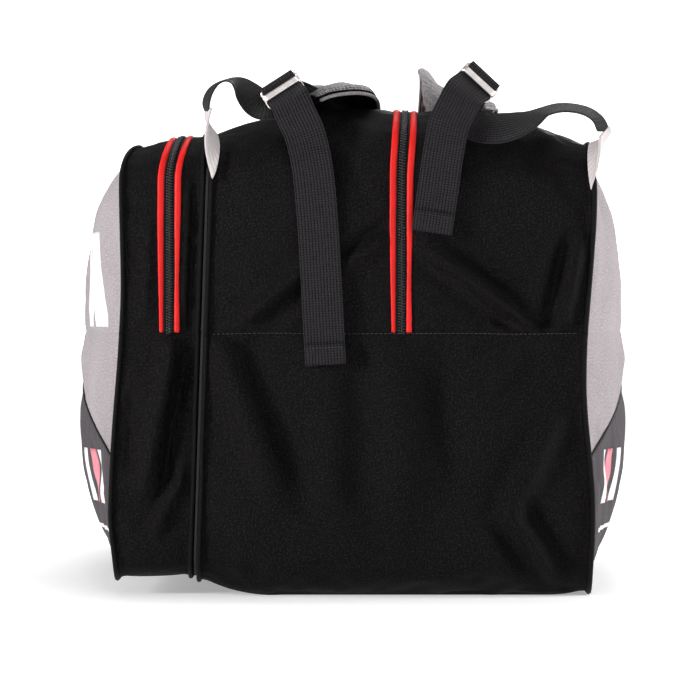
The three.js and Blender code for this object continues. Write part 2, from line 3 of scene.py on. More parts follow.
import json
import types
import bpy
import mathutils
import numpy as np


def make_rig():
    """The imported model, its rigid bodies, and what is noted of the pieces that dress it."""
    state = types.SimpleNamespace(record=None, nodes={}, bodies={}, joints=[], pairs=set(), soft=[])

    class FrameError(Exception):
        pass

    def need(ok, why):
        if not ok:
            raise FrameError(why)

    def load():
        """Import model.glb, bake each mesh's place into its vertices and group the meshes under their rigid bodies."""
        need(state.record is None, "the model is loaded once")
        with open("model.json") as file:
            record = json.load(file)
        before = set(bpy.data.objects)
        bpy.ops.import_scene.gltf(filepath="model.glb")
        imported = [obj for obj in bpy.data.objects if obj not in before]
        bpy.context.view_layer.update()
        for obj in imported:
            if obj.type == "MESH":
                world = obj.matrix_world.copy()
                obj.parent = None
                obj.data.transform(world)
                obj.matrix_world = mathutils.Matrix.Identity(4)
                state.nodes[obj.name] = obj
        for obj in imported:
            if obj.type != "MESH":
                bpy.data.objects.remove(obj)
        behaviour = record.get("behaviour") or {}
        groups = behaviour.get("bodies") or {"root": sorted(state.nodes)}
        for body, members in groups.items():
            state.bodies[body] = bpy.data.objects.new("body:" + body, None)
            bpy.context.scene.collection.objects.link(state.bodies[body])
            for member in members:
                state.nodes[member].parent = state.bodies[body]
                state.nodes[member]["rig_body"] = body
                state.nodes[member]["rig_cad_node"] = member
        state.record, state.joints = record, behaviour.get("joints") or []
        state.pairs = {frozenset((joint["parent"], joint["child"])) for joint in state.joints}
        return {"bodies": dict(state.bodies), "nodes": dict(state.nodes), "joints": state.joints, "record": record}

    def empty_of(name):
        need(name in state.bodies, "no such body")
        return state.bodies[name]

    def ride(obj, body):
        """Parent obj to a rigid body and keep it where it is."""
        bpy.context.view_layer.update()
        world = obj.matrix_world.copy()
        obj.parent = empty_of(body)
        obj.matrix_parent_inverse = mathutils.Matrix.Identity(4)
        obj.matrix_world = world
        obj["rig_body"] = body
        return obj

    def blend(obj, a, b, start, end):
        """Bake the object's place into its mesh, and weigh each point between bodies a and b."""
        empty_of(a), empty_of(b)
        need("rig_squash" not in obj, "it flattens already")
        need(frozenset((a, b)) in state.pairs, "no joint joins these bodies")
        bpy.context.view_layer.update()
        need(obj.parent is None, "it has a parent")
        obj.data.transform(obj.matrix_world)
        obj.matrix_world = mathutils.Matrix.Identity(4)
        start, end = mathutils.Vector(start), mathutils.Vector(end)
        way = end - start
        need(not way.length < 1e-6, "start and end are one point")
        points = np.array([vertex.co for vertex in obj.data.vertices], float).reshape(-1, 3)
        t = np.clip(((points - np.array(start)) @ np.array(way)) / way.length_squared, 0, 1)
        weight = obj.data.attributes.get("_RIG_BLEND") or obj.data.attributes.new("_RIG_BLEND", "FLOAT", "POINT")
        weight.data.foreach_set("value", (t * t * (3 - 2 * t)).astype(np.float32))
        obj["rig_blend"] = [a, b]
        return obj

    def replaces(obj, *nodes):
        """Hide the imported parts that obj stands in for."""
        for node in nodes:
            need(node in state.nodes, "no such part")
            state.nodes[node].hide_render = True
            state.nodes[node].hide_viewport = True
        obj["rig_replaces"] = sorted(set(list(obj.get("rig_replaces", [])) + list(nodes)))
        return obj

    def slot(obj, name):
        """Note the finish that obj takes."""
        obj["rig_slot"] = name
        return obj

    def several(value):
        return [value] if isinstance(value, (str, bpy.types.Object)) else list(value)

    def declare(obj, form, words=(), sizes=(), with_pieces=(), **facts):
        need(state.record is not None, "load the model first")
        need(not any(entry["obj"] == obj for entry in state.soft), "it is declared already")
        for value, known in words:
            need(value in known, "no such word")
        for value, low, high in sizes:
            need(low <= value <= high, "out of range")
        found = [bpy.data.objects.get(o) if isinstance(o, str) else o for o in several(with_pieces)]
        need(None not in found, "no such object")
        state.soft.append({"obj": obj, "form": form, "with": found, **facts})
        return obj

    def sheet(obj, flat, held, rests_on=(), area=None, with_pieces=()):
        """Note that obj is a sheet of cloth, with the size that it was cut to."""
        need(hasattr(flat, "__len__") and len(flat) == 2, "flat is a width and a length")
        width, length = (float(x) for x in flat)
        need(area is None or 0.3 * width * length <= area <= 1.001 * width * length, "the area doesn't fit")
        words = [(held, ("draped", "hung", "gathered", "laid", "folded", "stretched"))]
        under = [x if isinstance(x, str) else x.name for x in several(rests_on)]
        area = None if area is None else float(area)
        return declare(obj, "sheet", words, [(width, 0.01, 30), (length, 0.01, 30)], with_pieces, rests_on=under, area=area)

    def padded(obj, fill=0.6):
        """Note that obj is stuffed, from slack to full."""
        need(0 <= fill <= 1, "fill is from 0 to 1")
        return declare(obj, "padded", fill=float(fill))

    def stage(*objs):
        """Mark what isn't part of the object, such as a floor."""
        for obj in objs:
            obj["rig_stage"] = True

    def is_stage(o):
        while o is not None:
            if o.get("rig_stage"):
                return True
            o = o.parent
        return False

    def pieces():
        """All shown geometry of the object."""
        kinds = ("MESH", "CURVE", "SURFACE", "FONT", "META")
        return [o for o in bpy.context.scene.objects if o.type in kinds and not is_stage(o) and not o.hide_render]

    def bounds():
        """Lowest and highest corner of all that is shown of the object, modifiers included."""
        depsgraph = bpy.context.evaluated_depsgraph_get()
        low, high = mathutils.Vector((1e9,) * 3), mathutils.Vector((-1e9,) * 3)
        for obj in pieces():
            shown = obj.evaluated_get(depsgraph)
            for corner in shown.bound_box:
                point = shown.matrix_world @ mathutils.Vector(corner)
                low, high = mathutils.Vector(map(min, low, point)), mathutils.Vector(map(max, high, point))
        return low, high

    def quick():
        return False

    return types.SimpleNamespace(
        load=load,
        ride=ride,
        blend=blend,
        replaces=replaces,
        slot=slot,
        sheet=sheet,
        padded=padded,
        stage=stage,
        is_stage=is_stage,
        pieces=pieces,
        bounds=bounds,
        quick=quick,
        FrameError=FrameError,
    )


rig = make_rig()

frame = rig.load()

import json
import math
from collections import namedtuple

import bmesh
import bpy
import numpy as np
from mathutils import Vector
from mathutils.bvhtree import BVHTree

CAD_BOX = [list(corner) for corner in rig.bounds()]
SIZE_FILE = "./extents.json"

# ---- Driving dimensions, in metres ----
FOLD_Z = 0.246  # the seam where both zips end, and the line that the outer walls fold on
TOP_CORNER = 0.036
BOTTOM_CORNER = 0.024
CLOTH = 0.0022
TUCK = 0.0022  # how far the cloth turns out into the piping
PIPING_RADIUS = 0.0023
PIPING_RISE = 0.003
FACE_FLATNESS = 3.2
CROWN_FLATNESS = 2.6
KICK_END_Z = 0.127
KICK_RISE = 0.075
FRONT_LEAN = 0.016
FRONT_LEAN_START = 0.385
FRONT_TOP = 0.417
DIVIDER_FOOT_X = -0.1455
DIVIDER_LEAN = 0.014
DIVIDER_TOP = 0.43
SIDE_SEAM_GAP = 0.0042  # from the divider to the seams on both sides of it
MAIN_SEAM_GAP = 0.0036
FACE_SEAM_GAP = 0.0014  # from the faces' outlines out to their pipings
MAIN_END_CROWN = 0.012  # how far the gussets bulge out on the bag's ends, and along its top
MAIN_TOP_CROWN = 0.028
SIDE_CROWN = 0.005
SIDE_FLOOR_CROWN = 0.002

MAIN_ZIP_X = (0.048, 0.052)  # on the ends of the bag, and along its top
SIDE_ZIP_X = (-0.168, -0.158)
TRIM_OUTER = 0.0109
TRIM_INNER = 0.0050
TRIM_TAPER = 0.0015
TRIM_OVERLAP = 0.0028  # how far the ribbon covers the cloth
TOOTH_PITCH = 0.0026

WEBBING_WIDTH = 0.038
WEBBING = 0.0018
PAD_WIDTH = 0.076
PAD = 0.009

OVER = 1
UNDER = -1
WALL_SHARE = 0.15  # the share of a walk that each wall, and each half of the long run, takes
CORNER_SHARE = 0.2
FOLD_BAND = 0.13  # the height over which the walls' fabric bends at the fold

CLOTH_UV = "Cloth"  # distances along and across each piece, in metres


# ---- Small maths ----

NOISE_LAYERS = 3
LINE_SAMPLES = 800


def lerp(a, b, t):
    return a + (b - a) * t


def smooth(t):
    t = np.clip(t, 0, 1)
    return t * t * (3 - 2 * t)


def wave(points):
    """x as a smooth wave over height, through its high and low points."""
    heights, places = np.array(points).T

    def x_at(z):
        z = np.asarray(z, float)
        i = np.clip(np.searchsorted(heights, z, side="right") - 1, 0, len(heights) - 2)
        t = (z - heights[i]) / (heights[i + 1] - heights[i])
        return lerp(places[i], places[i + 1], smooth(t))

    return x_at


def noise(x, y, seed):
    """Smooth noise from -1 to 1, with a new value at each whole x and y."""
    table = np.random.RandomState(seed).uniform(-1, 1, (64, 64))
    column, row = np.floor(x).astype(int), np.floor(y).astype(int)
    tx, ty = smooth(x - column), smooth(y - row)
    corner = lambda a, b: table[(column + a) % 64, (row + b) % 64]
    near = lerp(corner(0, 0), corner(1, 0), tx)
    far = lerp(corner(0, 1), corner(1, 1), tx)
    return lerp(near, far, ty)


def layered_noise(x, y, seed):
    return sum(noise(x * 2**k, y * 2**k, seed + k) / 2**k for k in range(NOISE_LAYERS))


def distances(points):
    """The distance along a line of points at each of them."""
    steps = np.linalg.norm(np.diff(points, axis=0), axis=1)
    return np.concatenate([[0], np.cumsum(steps)])


def even_steps(line, spacing, start=0.0, end=1.0):
    """Values from start to end at which line(value) is evenly spaced, and the distance at each."""
    values = np.linspace(start, end, LINE_SAMPLES)
    along = distances(line(values))
    count = max(3, int(round(along[-1] / spacing)) + 1)
    places = np.linspace(0, along[-1], count)
    return np.interp(places, along, values), places


def unit(vectors):
    return vectors / np.maximum(np.linalg.norm(vectors, axis=-1, keepdims=True), 1e-9)


def normals_of(grid):
    return unit(np.cross(np.gradient(grid, axis=0), np.gradient(grid, axis=1)))


def spline(points, t):
    """A centripetal Catmull-Rom curve through the points, for t from 0 to 1."""
    points = np.asarray(points, float)
    ends = (2 * points[0] - points[1], 2 * points[-1] - points[-2])
    padded = np.vstack([ends[0], points, ends[1]])
    place = np.clip(t, 0, 1) * (len(points) - 1)
    i = np.minimum(place.astype(int), len(points) - 2)
    w = (place - i)[:, None]
    p0, p1, p2, p3 = (padded[i + k] for k in range(4))
    gap = lambda a, b: np.maximum(np.linalg.norm(b - a, axis=1), 1e-9)[:, None] ** 0.5
    d0, d1, d2 = gap(p0, p1), gap(p1, p2), gap(p2, p3)
    m1 = ((p1 - p0) / d0 - (p2 - p0) / (d0 + d1) + (p2 - p1) / d1) * d1
    m2 = ((p2 - p1) / d1 - (p3 - p1) / (d1 + d2) + (p3 - p2) / d2) * d1
    cubic = 2 * p1 - 2 * p2 + m1 + m2
    square = -3 * p1 + 3 * p2 - 2 * m1 - m2
    return cubic * w**3 + square * w**2 + m1 * w + p1


# ---- The sewn outlines, as in the frame ----

# x is a function of z, and half is half of the outline's length in y.
Outline = namedtuple("Outline", "x half bottom top")

front_side = wave([(0.015, -0.217), (0.08, -0.222), (0.29, -0.21), (0.385, -0.212)])


def front_x(z):
    share = np.clip((z - FRONT_LEAN_START) / (FRONT_TOP - FRONT_LEAN_START), 0, 1)
    return front_side(z) + FRONT_LEAN * (1 - np.sqrt(1 - share**2))


back_x = wave([(0.006, 0.222), (0.07, 0.225), (0.2, 0.2165), (0.375, 0.226), (0.425, 0.222)])


def divider_x(z):
    return DIVIDER_FOOT_X + DIVIDER_LEAN * (z / DIVIDER_TOP)


FRONT = Outline(front_x, 0.444, 0.018, FRONT_TOP)
SIDE_INNER = Outline(lambda z: divider_x(z) - SIDE_SEAM_GAP, 0.444, 0.020, 0.428)
MAIN_INNER = Outline(lambda z: divider_x(z) + MAIN_SEAM_GAP, 0.45, 0.017, DIVIDER_TOP)
BACK = Outline(back_x, 0.45, 0.0058, 0.42)


def walk(outline, s, way):
    """y and z on an outline from the front fold line to the rear one, and the way out there."""
    s = np.asarray(s, float)
    radius = TOP_CORNER if way == OVER else BOTTOM_CORNER
    run = outline.top if way == OVER else outline.bottom
    mirror = np.where(s > 0.5, -1.0, 1.0)
    q = np.where(s > 0.5, 1 - s, s)
    corner_z = run - way * radius
    angle = np.clip((q - WALL_SHARE) / CORNER_SHARE, 0, 1) * (math.pi / 2)
    on_wall = np.clip(q / WALL_SHARE, 0, 1)
    on_run = np.clip((q - WALL_SHARE - CORNER_SHARE) / WALL_SHARE, 0, 1)
    y = -outline.half + radius * (1 - np.cos(angle)) + (outline.half - radius) * on_run
    z = lerp(FOLD_Z, corner_z, on_wall) + way * radius * np.sin(angle)
    return y * mirror, z, -np.cos(angle) * mirror, way * np.sin(angle)


def corner_share(s):
    return smooth((np.minimum(s, 1 - s) - WALL_SHARE) / CORNER_SHARE)


def crown_shape(f):
    return 1 - np.abs(2 * f - 1) ** CROWN_FLATNESS


def main_sag(f):
    """How far the floor hangs below its seams: it lies flat but for a strip along each of them."""
    left, right = MAIN_INNER.bottom, BACK.bottom
    rise_left = left * np.clip(1 - f / 0.2, 0, 1) ** 2
    rise_right = right * np.clip((f - 0.9) / 0.1, 0, 1) ** 2
    return lerp(left, right, f) - rise_left - rise_right


def main_over_crown(s, f):
    return lerp(MAIN_END_CROWN, MAIN_TOP_CROWN, corner_share(s)) * crown_shape(f)


def main_under_crown(s, f):
    return lerp(MAIN_END_CROWN * crown_shape(f), main_sag(f), corner_share(s))


def side_over_crown(_, f):
    return SIDE_CROWN * crown_shape(f)


def side_under_crown(s, f):
    return lerp(SIDE_CROWN, SIDE_FLOOR_CROWN, corner_share(s)) * crown_shape(f)


class Gusset:
    """The strip of fabric between two outlines, over the top of the bag or under its floor."""

    def __init__(self, left, right, way, crown):
        self.left, self.right, self.way, self.crown = left, right, way, crown

    def at(self, s, f, lift=0.0):
        ya, za, out_y, out_z = walk(self.left, s, self.way)
        yb, zb, _, _ = walk(self.right, s, self.way)
        out = self.crown(s, f) + lift
        x = lerp(self.left.x(za), self.right.x(zb), f)
        y = lerp(ya, yb, f) + out_y * out
        z = lerp(za, zb, f) + out_z * out
        return np.stack(np.broadcast_arrays(x, y, z), axis=-1)

    def share_at(self, s, x):
        left = self.left.x(walk(self.left, s, self.way)[1])
        right = self.right.x(walk(self.right, s, self.way)[1])
        return (x - left) / (right - left)


MAIN_OVER = Gusset(MAIN_INNER, BACK, OVER, main_over_crown)
MAIN_UNDER = Gusset(MAIN_INNER, BACK, UNDER, main_under_crown)
SIDE_OVER = Gusset(FRONT, SIDE_INNER, OVER, side_over_crown)
SIDE_UNDER = Gusset(FRONT, SIDE_INNER, UNDER, side_under_crown)


# ---- Materials ----

def shade(color, factor):
    return (*(min(1.0, c * factor) for c in color), 1.0)


class Graph:
    """A principled material and its nodes."""

    def __init__(self, name, **sockets):
        self.material = bpy.data.materials.new(name)
        self.material.use_nodes = True
        self.tree = self.material.node_tree
        self.tree.nodes.clear()
        self.shader = self.node("ShaderNodeBsdfPrincipled", sockets)
        output = self.node("ShaderNodeOutputMaterial")
        self.tree.links.new(self.shader.outputs[0], output.inputs[0])

    def node(self, kind, inputs=None, **settings):
        node = self.tree.nodes.new(kind)
        for key, value in settings.items():
            setattr(node, key, value)
        for key, value in (inputs or {}).items():
            if isinstance(value, bpy.types.NodeSocket):
                self.tree.links.new(value, node.inputs[key])
            else:
                node.inputs[key].default_value = value
        return node

    def math(self, operation, a, b=0.0, c=0.5):
        return self.node("ShaderNodeMath", {0: a, 1: b, 2: c}, operation=operation).outputs[0]

    def cloth_uv(self):
        uv = self.node("ShaderNodeUVMap", uv_map=CLOTH_UV).outputs[0]
        split = self.node("ShaderNodeSeparateXYZ", {0: uv})
        return uv, split.outputs[0], split.outputs[1]

    def ribs(self, distance, pitch):
        """A rounded rib each pitch: 0 in the valleys and 1 on the ribs."""
        turned = self.math("MULTIPLY", distance, math.pi / pitch)
        return self.math("ABSOLUTE", self.math("SINE", turned))

    def weave(self, u, v, pitch):
        """Threads that pass over and under each other, from 0 to 1."""
        warp = self.math("SINE", self.math("MULTIPLY", u, 2 * math.pi / pitch))
        weft = self.math("SINE", self.math("MULTIPLY", v, 2 * math.pi / pitch))
        product = self.math("MULTIPLY", warp, weft)
        return self.math("MULTIPLY_ADD", product, 0.5, 0.5)

    def noise(self, vector, scale, detail=3.0):
        inputs = {"Vector": vector, "Scale": scale, "Detail": detail}
        return self.node("ShaderNodeTexNoise", inputs).outputs[0]

    def threads(self, uv, along, across):
        """Noise drawn out along the warp and along the weft, as of uneven yarn."""
        parts = []
        for scale in ((along, across, 1), (across, along, 1)):
            stretched = self.node("ShaderNodeMapping", {"Vector": uv, "Scale": scale})
            parts.append(self.noise(stretched.outputs[0], 1.0, 2.0))
        return self.math("MULTIPLY", self.math("ADD", *parts), 0.5)

    def place(self):
        return self.node("ShaderNodeTexCoord").outputs["Object"]

    def shades(self, value, color, *stops):
        """The colour times a factor that follows a value. Each stop is (value, factor)."""
        node = self.node("ShaderNodeValToRGB", {0: value})
        ramp = node.color_ramp
        first, *middle, last = [(place, shade(color, factor)) for place, factor in stops]
        ramp.elements[0].position, ramp.elements[0].color = first
        ramp.elements[1].position, ramp.elements[1].color = last
        for place, tone in middle:
            ramp.elements.new(place).color = tone
        return node.outputs[0]

    def darken(self, base, value, *stops):
        return self.mix(1.0, base, self.shades(value, (1, 1, 1), *stops), "MULTIPLY")

    def mix(self, share, a, b, blend_type="MIX"):
        inputs = {0: share, 6: a, 7: b}
        node = self.node("ShaderNodeMix", inputs, data_type="RGBA", blend_type=blend_type)
        return node.outputs[2]

    def color(self, value):
        self.tree.links.new(value, self.shader.inputs["Base Color"])

    def roughness(self, value, low, high):
        spread = self.node("ShaderNodeMapRange", {0: value, 3: low, 4: high})
        self.tree.links.new(spread.outputs[0], self.shader.inputs["Roughness"])

    def bump(self, *layers):
        """Each layer is (height, depth in metres)."""
        normal = None
        for height, depth in layers:
            inputs = {"Height": height, "Strength": 1.0, "Distance": depth}
            if normal is not None:
                inputs["Normal"] = normal
            normal = self.node("ShaderNodeBump", inputs).outputs[0]
        self.tree.links.new(normal, self.shader.inputs["Normal"])


def woven(name, color, pitch, contrast, rough=(0.6, 0.8), depth=0.00022, sheen=0.03, specular=0.35,
          glint=3.0):
    """Woven cloth of slightly uneven yarn, with soft lighter and darker areas. The yarn and specks
    carry a painted highlight, glint times as much lighter as they are darker elsewhere, and
    painted shade darkens the hollows of the weave."""
    graph = Graph(name, **{"Sheen Weight": sheen, "Sheen Roughness": 0.5})
    graph.shader.inputs["Specular IOR Level"].default_value = specular
    uv, u, v = graph.cloth_uv()
    weave = graph.weave(u, v, pitch)
    yarn = graph.threads(uv, 0.8 / pitch, 0.12 / pitch)
    area = graph.noise(graph.place(), 9.0, 4.0)
    grain = graph.noise(uv, 0.76 / pitch, 2.0)
    # Painted highlight: light is how much brighter the yarn and specks are painted where they would catch the light.
    dark, light = 1 - contrast, 1 + glint * contrast
    base = graph.shades(yarn, color, (0.38, dark), (0.66, light))
    specks = graph.shades(grain, color, (0.38, dark), (0.52, 0.9), (0.68, light))
    # Painted shade in the hollows of the weave.
    base = graph.darken(graph.mix(0.8, base, specks), weave, (0.1, 0.84), (0.8, 1))
    graph.color(graph.darken(base, area, (0.3, 0.84), (0.7, 1)))
    graph.roughness(area, *rough)
    graph.bump((weave, depth), (yarn, depth * 0.8), (graph.noise(graph.place(), 60.0), depth * 2))
    return graph.material


def ribbed(name, color, along_pitch, across_pitch, depth, contrast=0.3, valley=0.2):
    """Narrow webbing or tape, with ribs along it and finer ribs across it. The raised ribs carry a
    painted highlight, up to 1 + contrast times the colour, and valley is the share of the colour
    that is left between the ribs, as painted shade."""
    graph = Graph(name, **{"Sheen Weight": 0.01, "Sheen Roughness": 0.4})
    graph.shader.inputs["Specular IOR Level"].default_value = 0.12
    uv, u, v = graph.cloth_uv()
    along = graph.ribs(v, along_pitch)
    across = graph.ribs(u, across_pitch)
    yarn = graph.threads(uv, 900.0, 60.0)
    raised = graph.math("MULTIPLY", along, graph.math("MULTIPLY_ADD", across, 0.5, 0.5))
    # Painted highlight on the raised ribs, and painted shade in the valleys between them.
    base = graph.shades(raised, color, (0.2, valley), (0.8, 1 + contrast))
    threads = graph.shades(yarn, color, (0.35, 1 - contrast), (0.65, 1 + contrast))
    graph.color(graph.mix(0.3, base, threads))
    graph.roughness(yarn, 0.5, 0.7)
    graph.bump((along, depth), (across, depth * 0.7), (yarn, depth * 0.3))
    return graph.material


def satin(name, color):
    """Shiny ribbon with fine ribs across it, with painted shade between the ribs."""
    graph = Graph(name, **{"Specular IOR Level": 0.2})
    uv, u, _ = graph.cloth_uv()
    fine = graph.ribs(u, 0.0017)
    soft = graph.noise(graph.place(), 40.0)
    base = graph.shades(soft, color, (0.3, 0.86), (0.7, 1.1))
    # Painted shade between the fine ribs.
    graph.color(graph.darken(base, fine, (0.0, 0.62), (0.7, 1)))
    graph.roughness(soft, 0.38, 0.55)
    graph.bump((fine, 0.0001), (graph.threads(uv, 900.0, 80.0), 0.0001))
    return graph.material


def spacer_mesh(name, color):
    """Open knitted mesh over foam: dark holes between looped yarns."""
    graph = Graph(name, **{"Sheen Weight": 0.4, "Sheen Roughness": 0.6})
    uv, _, _ = graph.cloth_uv()
    cells = graph.node("ShaderNodeTexVoronoi", {"Vector": uv, "Scale": 360.0, "Randomness": 0.35})
    holes = graph.shades(cells.outputs[0], color, (0.2, 0.08), (0.62, 1.5))
    fuzz = graph.noise(uv, 1600.0, 2.0)
    graph.color(graph.darken(holes, fuzz, (0.35, 0.55), (0.65, 1)))
    graph.roughness(fuzz, 0.75, 0.95)
    graph.bump((cells.outputs[0], 0.0009), (fuzz, 0.0004))
    return graph.material


def metal(name, color, rough, scratches):
    """Plated metal with drawn streaks as deep as scratches, in metres."""
    graph = Graph(name, Metallic=1.0)
    place = graph.place()
    drawn = graph.node("ShaderNodeMapping", {"Vector": place, "Scale": (90.0, 90.0, 1800.0)})
    streaks = graph.noise(drawn.outputs[0], 1.0, 3.0)
    blotches = graph.noise(place, 120.0)
    graph.color(graph.shades(blotches, color, (0.3, 0.86), (0.7, 1.06)))
    graph.roughness(streaks, rough - 0.08, rough + 0.14)
    graph.bump((streaks, scratches), (blotches, scratches * 2))
    return graph.material


def moulded(name, color, rough):
    """Plain nylon or vinyl with a slight grain."""
    graph = Graph(name)
    place = graph.place()
    grain = graph.noise(place, 1400.0, 2.0)
    area = graph.noise(place, 70.0)
    graph.color(graph.shades(area, color, (0.3, 0.85), (0.7, 1.12)))
    graph.roughness(area, rough - 0.08, rough + 0.1)
    graph.bump((grain, 0.00012))
    return graph.material


# A high glint paints strong highlights into the black cloth's yarn specks.
BLACK = woven("black_polyester", (0.0023, 0.0019, 0.0022), 0.0013, 0.95, rough=(0.52, 0.68),
              depth=0.0003, sheen=0.0, specular=0.075, glint=7.0)
LINING = woven("lining", (0.02, 0.02, 0.021), 0.0009, 0.4)
GREY = woven("grey_weave", (0.335, 0.298, 0.314), 0.0012, 0.2, rough=(0.7, 0.85))
CHARCOAL = woven("charcoal_weave", (0.045, 0.036, 0.042), 0.0012, 0.3, rough=(0.65, 0.85))
PIPING = woven("piping_tape", (0.0045, 0.0038, 0.0045), 0.0009, 0.5, rough=(0.45, 0.6),
               depth=0.0002, sheen=0.0, specular=0.09)
RED = satin("red_trim", (0.74, 0.014, 0.011))
ZIP_TAPE = ribbed("zip_tape", (0.007, 0.006, 0.007), 0.0016, 0.0012, 0.00015)
COIL = moulded("zip_coil", (0.011, 0.010, 0.011), 0.3)
# Strong painted highlight on the webbing's ribs, and deep painted shade between them.
STRAP = ribbed("webbing", (0.0098, 0.0086, 0.0100), 0.0029, 0.0024, 0.0005, contrast=1.7, valley=0.02)
TAB = ribbed("tab_grosgrain", (0.60, 0.55, 0.55), 0.0045, 0.0011, 0.0002, contrast=0.1, valley=0.8)
MESH = spacer_mesh("spacer_mesh", (0.26, 0.24, 0.255))
EDGE = woven("light_piping", (0.3, 0.28, 0.29), 0.0009, 0.25)
NICKEL = metal("nickel", (0.90, 0.84, 0.82), 0.38, 0.00002)
GUNMETAL = metal("gunmetal", (0.12, 0.12, 0.125), 0.32, 0.00003)
THREAD = ribbed("thread", (0.05, 0.046, 0.05), 0.0004, 0.0005, 0.00008)
WHITE_PRINT = moulded("white_print", (0.80, 0.78, 0.78), 0.42)
ROSE_PRINT = moulded("rose_print", (0.58, 0.16, 0.2), 0.42)


# ---- Meshes ----

def mesh_object(name, points, faces, uv=None, materials=(), face_slots=None):
    mesh = bpy.data.meshes.new(name)
    mesh.from_pydata(np.asarray(points, float).reshape(-1, 3).tolist(), [], faces)
    mesh.polygons.foreach_set("use_smooth", [True] * len(mesh.polygons))
    layer = mesh.uv_layers.new(name=CLOTH_UV)
    if uv is not None:
        corners = np.empty(len(mesh.loops), dtype=np.int32)
        mesh.loops.foreach_get("vertex_index", corners)
        flat = np.asarray(uv, float).reshape(-1, 2)
        layer.data.foreach_set("uv", flat[corners].ravel())
    for material in materials:
        mesh.materials.append(material)
    if face_slots is not None:
        mesh.polygons.foreach_set("material_index", face_slots)
    obj = bpy.data.objects.new(name, mesh)
    bpy.context.scene.collection.objects.link(obj)
    return obj


def grid_faces(rows, columns, wrap=False, first=0):
    """Quads over a grid of points, row by row. wrap joins the last column to the first."""
    faces = []
    for i in range(rows - 1):
        for j in range(columns if wrap else columns - 1):
            k = (j + 1) % columns
            low, high = first + i * columns, first + (i + 1) * columns
            faces.append((low + j, high + j, high + k, low + k))
    return faces


def turn_faces_out(obj):
    """Turns the faces of a closed mesh outwards, and gives it back."""
    edit = bmesh.new()
    edit.from_mesh(obj.data)
    bmesh.ops.recalc_face_normals(edit, faces=edit.faces)
    edit.to_mesh(obj.data)
    edit.free()
    return obj


def sweep(name, at, across, out, section, materials, closed=False):
    """A closed section carried along a line. section holds (across, out) pairs, one set a station
    or one set for all of them."""
    at = np.asarray(at)
    section = np.broadcast_to(section, (len(at), *np.shape(section)[-2:]))
    grid = (
        at[:, None]
        + across[:, None] * section[..., 0:1]
        + out[:, None] * section[..., 1:2]
    )
    rows, columns = grid.shape[:2]
    u = np.broadcast_to(distances(at)[:, None], (rows, columns))
    v = np.broadcast_to(section[..., 0], (rows, columns))
    faces = grid_faces(rows, columns, wrap=True)
    if closed:
        last = (rows - 1) * columns
        for j in range(columns):
            k = (j + 1) % columns
            faces.append((last + j, j, k, last + k))
    else:
        faces.append(tuple(range(columns)))
        faces.append(tuple(range((rows - 1) * columns, rows * columns)))
    obj = mesh_object(name, grid, faces, np.stack([u, v], axis=-1), materials)
    return turn_faces_out(obj)


def ring(radius, sides):
    turn = np.linspace(0, 2 * math.pi, sides, endpoint=False)
    return np.stack([radius * np.cos(turn), radius * np.sin(turn)], axis=-1)


def flat_section(width, thickness, steps=9):
    """A flat strip's section with rounded edges."""
    half, round_off = width / 2, thickness / 2
    line = np.linspace(-half + round_off, half - round_off, steps)
    turn = np.linspace(-math.pi / 2, math.pi / 2, 5)
    cap = np.stack([np.cos(turn), np.sin(turn)], axis=-1) * round_off
    right = cap + (half - round_off, 0)
    left = -cap - (half - round_off, 0)
    top = np.stack([line[::-1][1:-1], np.full(steps - 2, round_off)], axis=-1)
    bottom = np.stack([line[1:-1], np.full(steps - 2, -round_off)], axis=-1)
    return np.vstack([bottom, right, top, left])


def frames_along(points, side):
    """Across and out directions along a line, where side is a rough across direction."""
    along = unit(np.gradient(np.asarray(points), axis=0))
    side = np.broadcast_to(side, along.shape)
    across = unit(side - along * np.sum(side * along, axis=1, keepdims=True))
    return across, np.cross(across, along)


def tube(name, points, radius, material, sides=10, side=(1.0, 0.0, 0.0), closed=False):
    across, out = frames_along(points, side)
    return sweep(name, points, across, out, ring(radius, sides), (material,), closed)


def joined(name, objects):
    """Joins meshes into the first, under a new name."""
    for obj in bpy.context.selected_objects:
        obj.select_set(False)
    for obj in objects:
        obj.select_set(True)
    bpy.context.view_layer.objects.active = objects[0]
    bpy.ops.object.join()
    objects[0].name = name
    objects[0].data.name = name
    return objects[0]


def sharpen_border(obj):
    """Keeps the shading of a piece of cloth from bending round its cut edges."""
    edit = bmesh.new()
    edit.from_mesh(obj.data)
    for edge in edit.edges:
        edge.smooth = not edge.is_boundary
    edit.to_mesh(obj.data)
    edit.free()


def refine(obj):
    modifier = obj.modifiers.new("Fine", "SUBSURF")
    modifier.levels = modifier.render_levels = 1


def thicken(obj, thickness=CLOTH, offset=-1.0):
    modifier = obj.modifiers.new("Thickness", "SOLIDIFY")
    modifier.thickness = thickness
    modifier.offset = offset
    return modifier


# ---- How a finished piece follows the bodies ----

def on(body):
    return lambda obj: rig.ride(obj, body)


def folds_with(body):
    """The piece bends from the shell to a wall that folds, over a band above the fold line."""
    start, end = (0, 0, FOLD_Z), (0, 0, FOLD_Z + FOLD_BAND)
    return lambda obj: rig.blend(obj, "shell", body, start, end)


def attach(obj, slot, place, node=None):
    """Gives a piece its slot, the node that it stands for, and the bodies that it follows."""
    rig.slot(obj, slot)
    if node:
        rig.replaces(obj, node)
    place(obj)
    return obj


# ---- Cloth that relaxes between its seams ----

SETTLE_FRAMES = 16


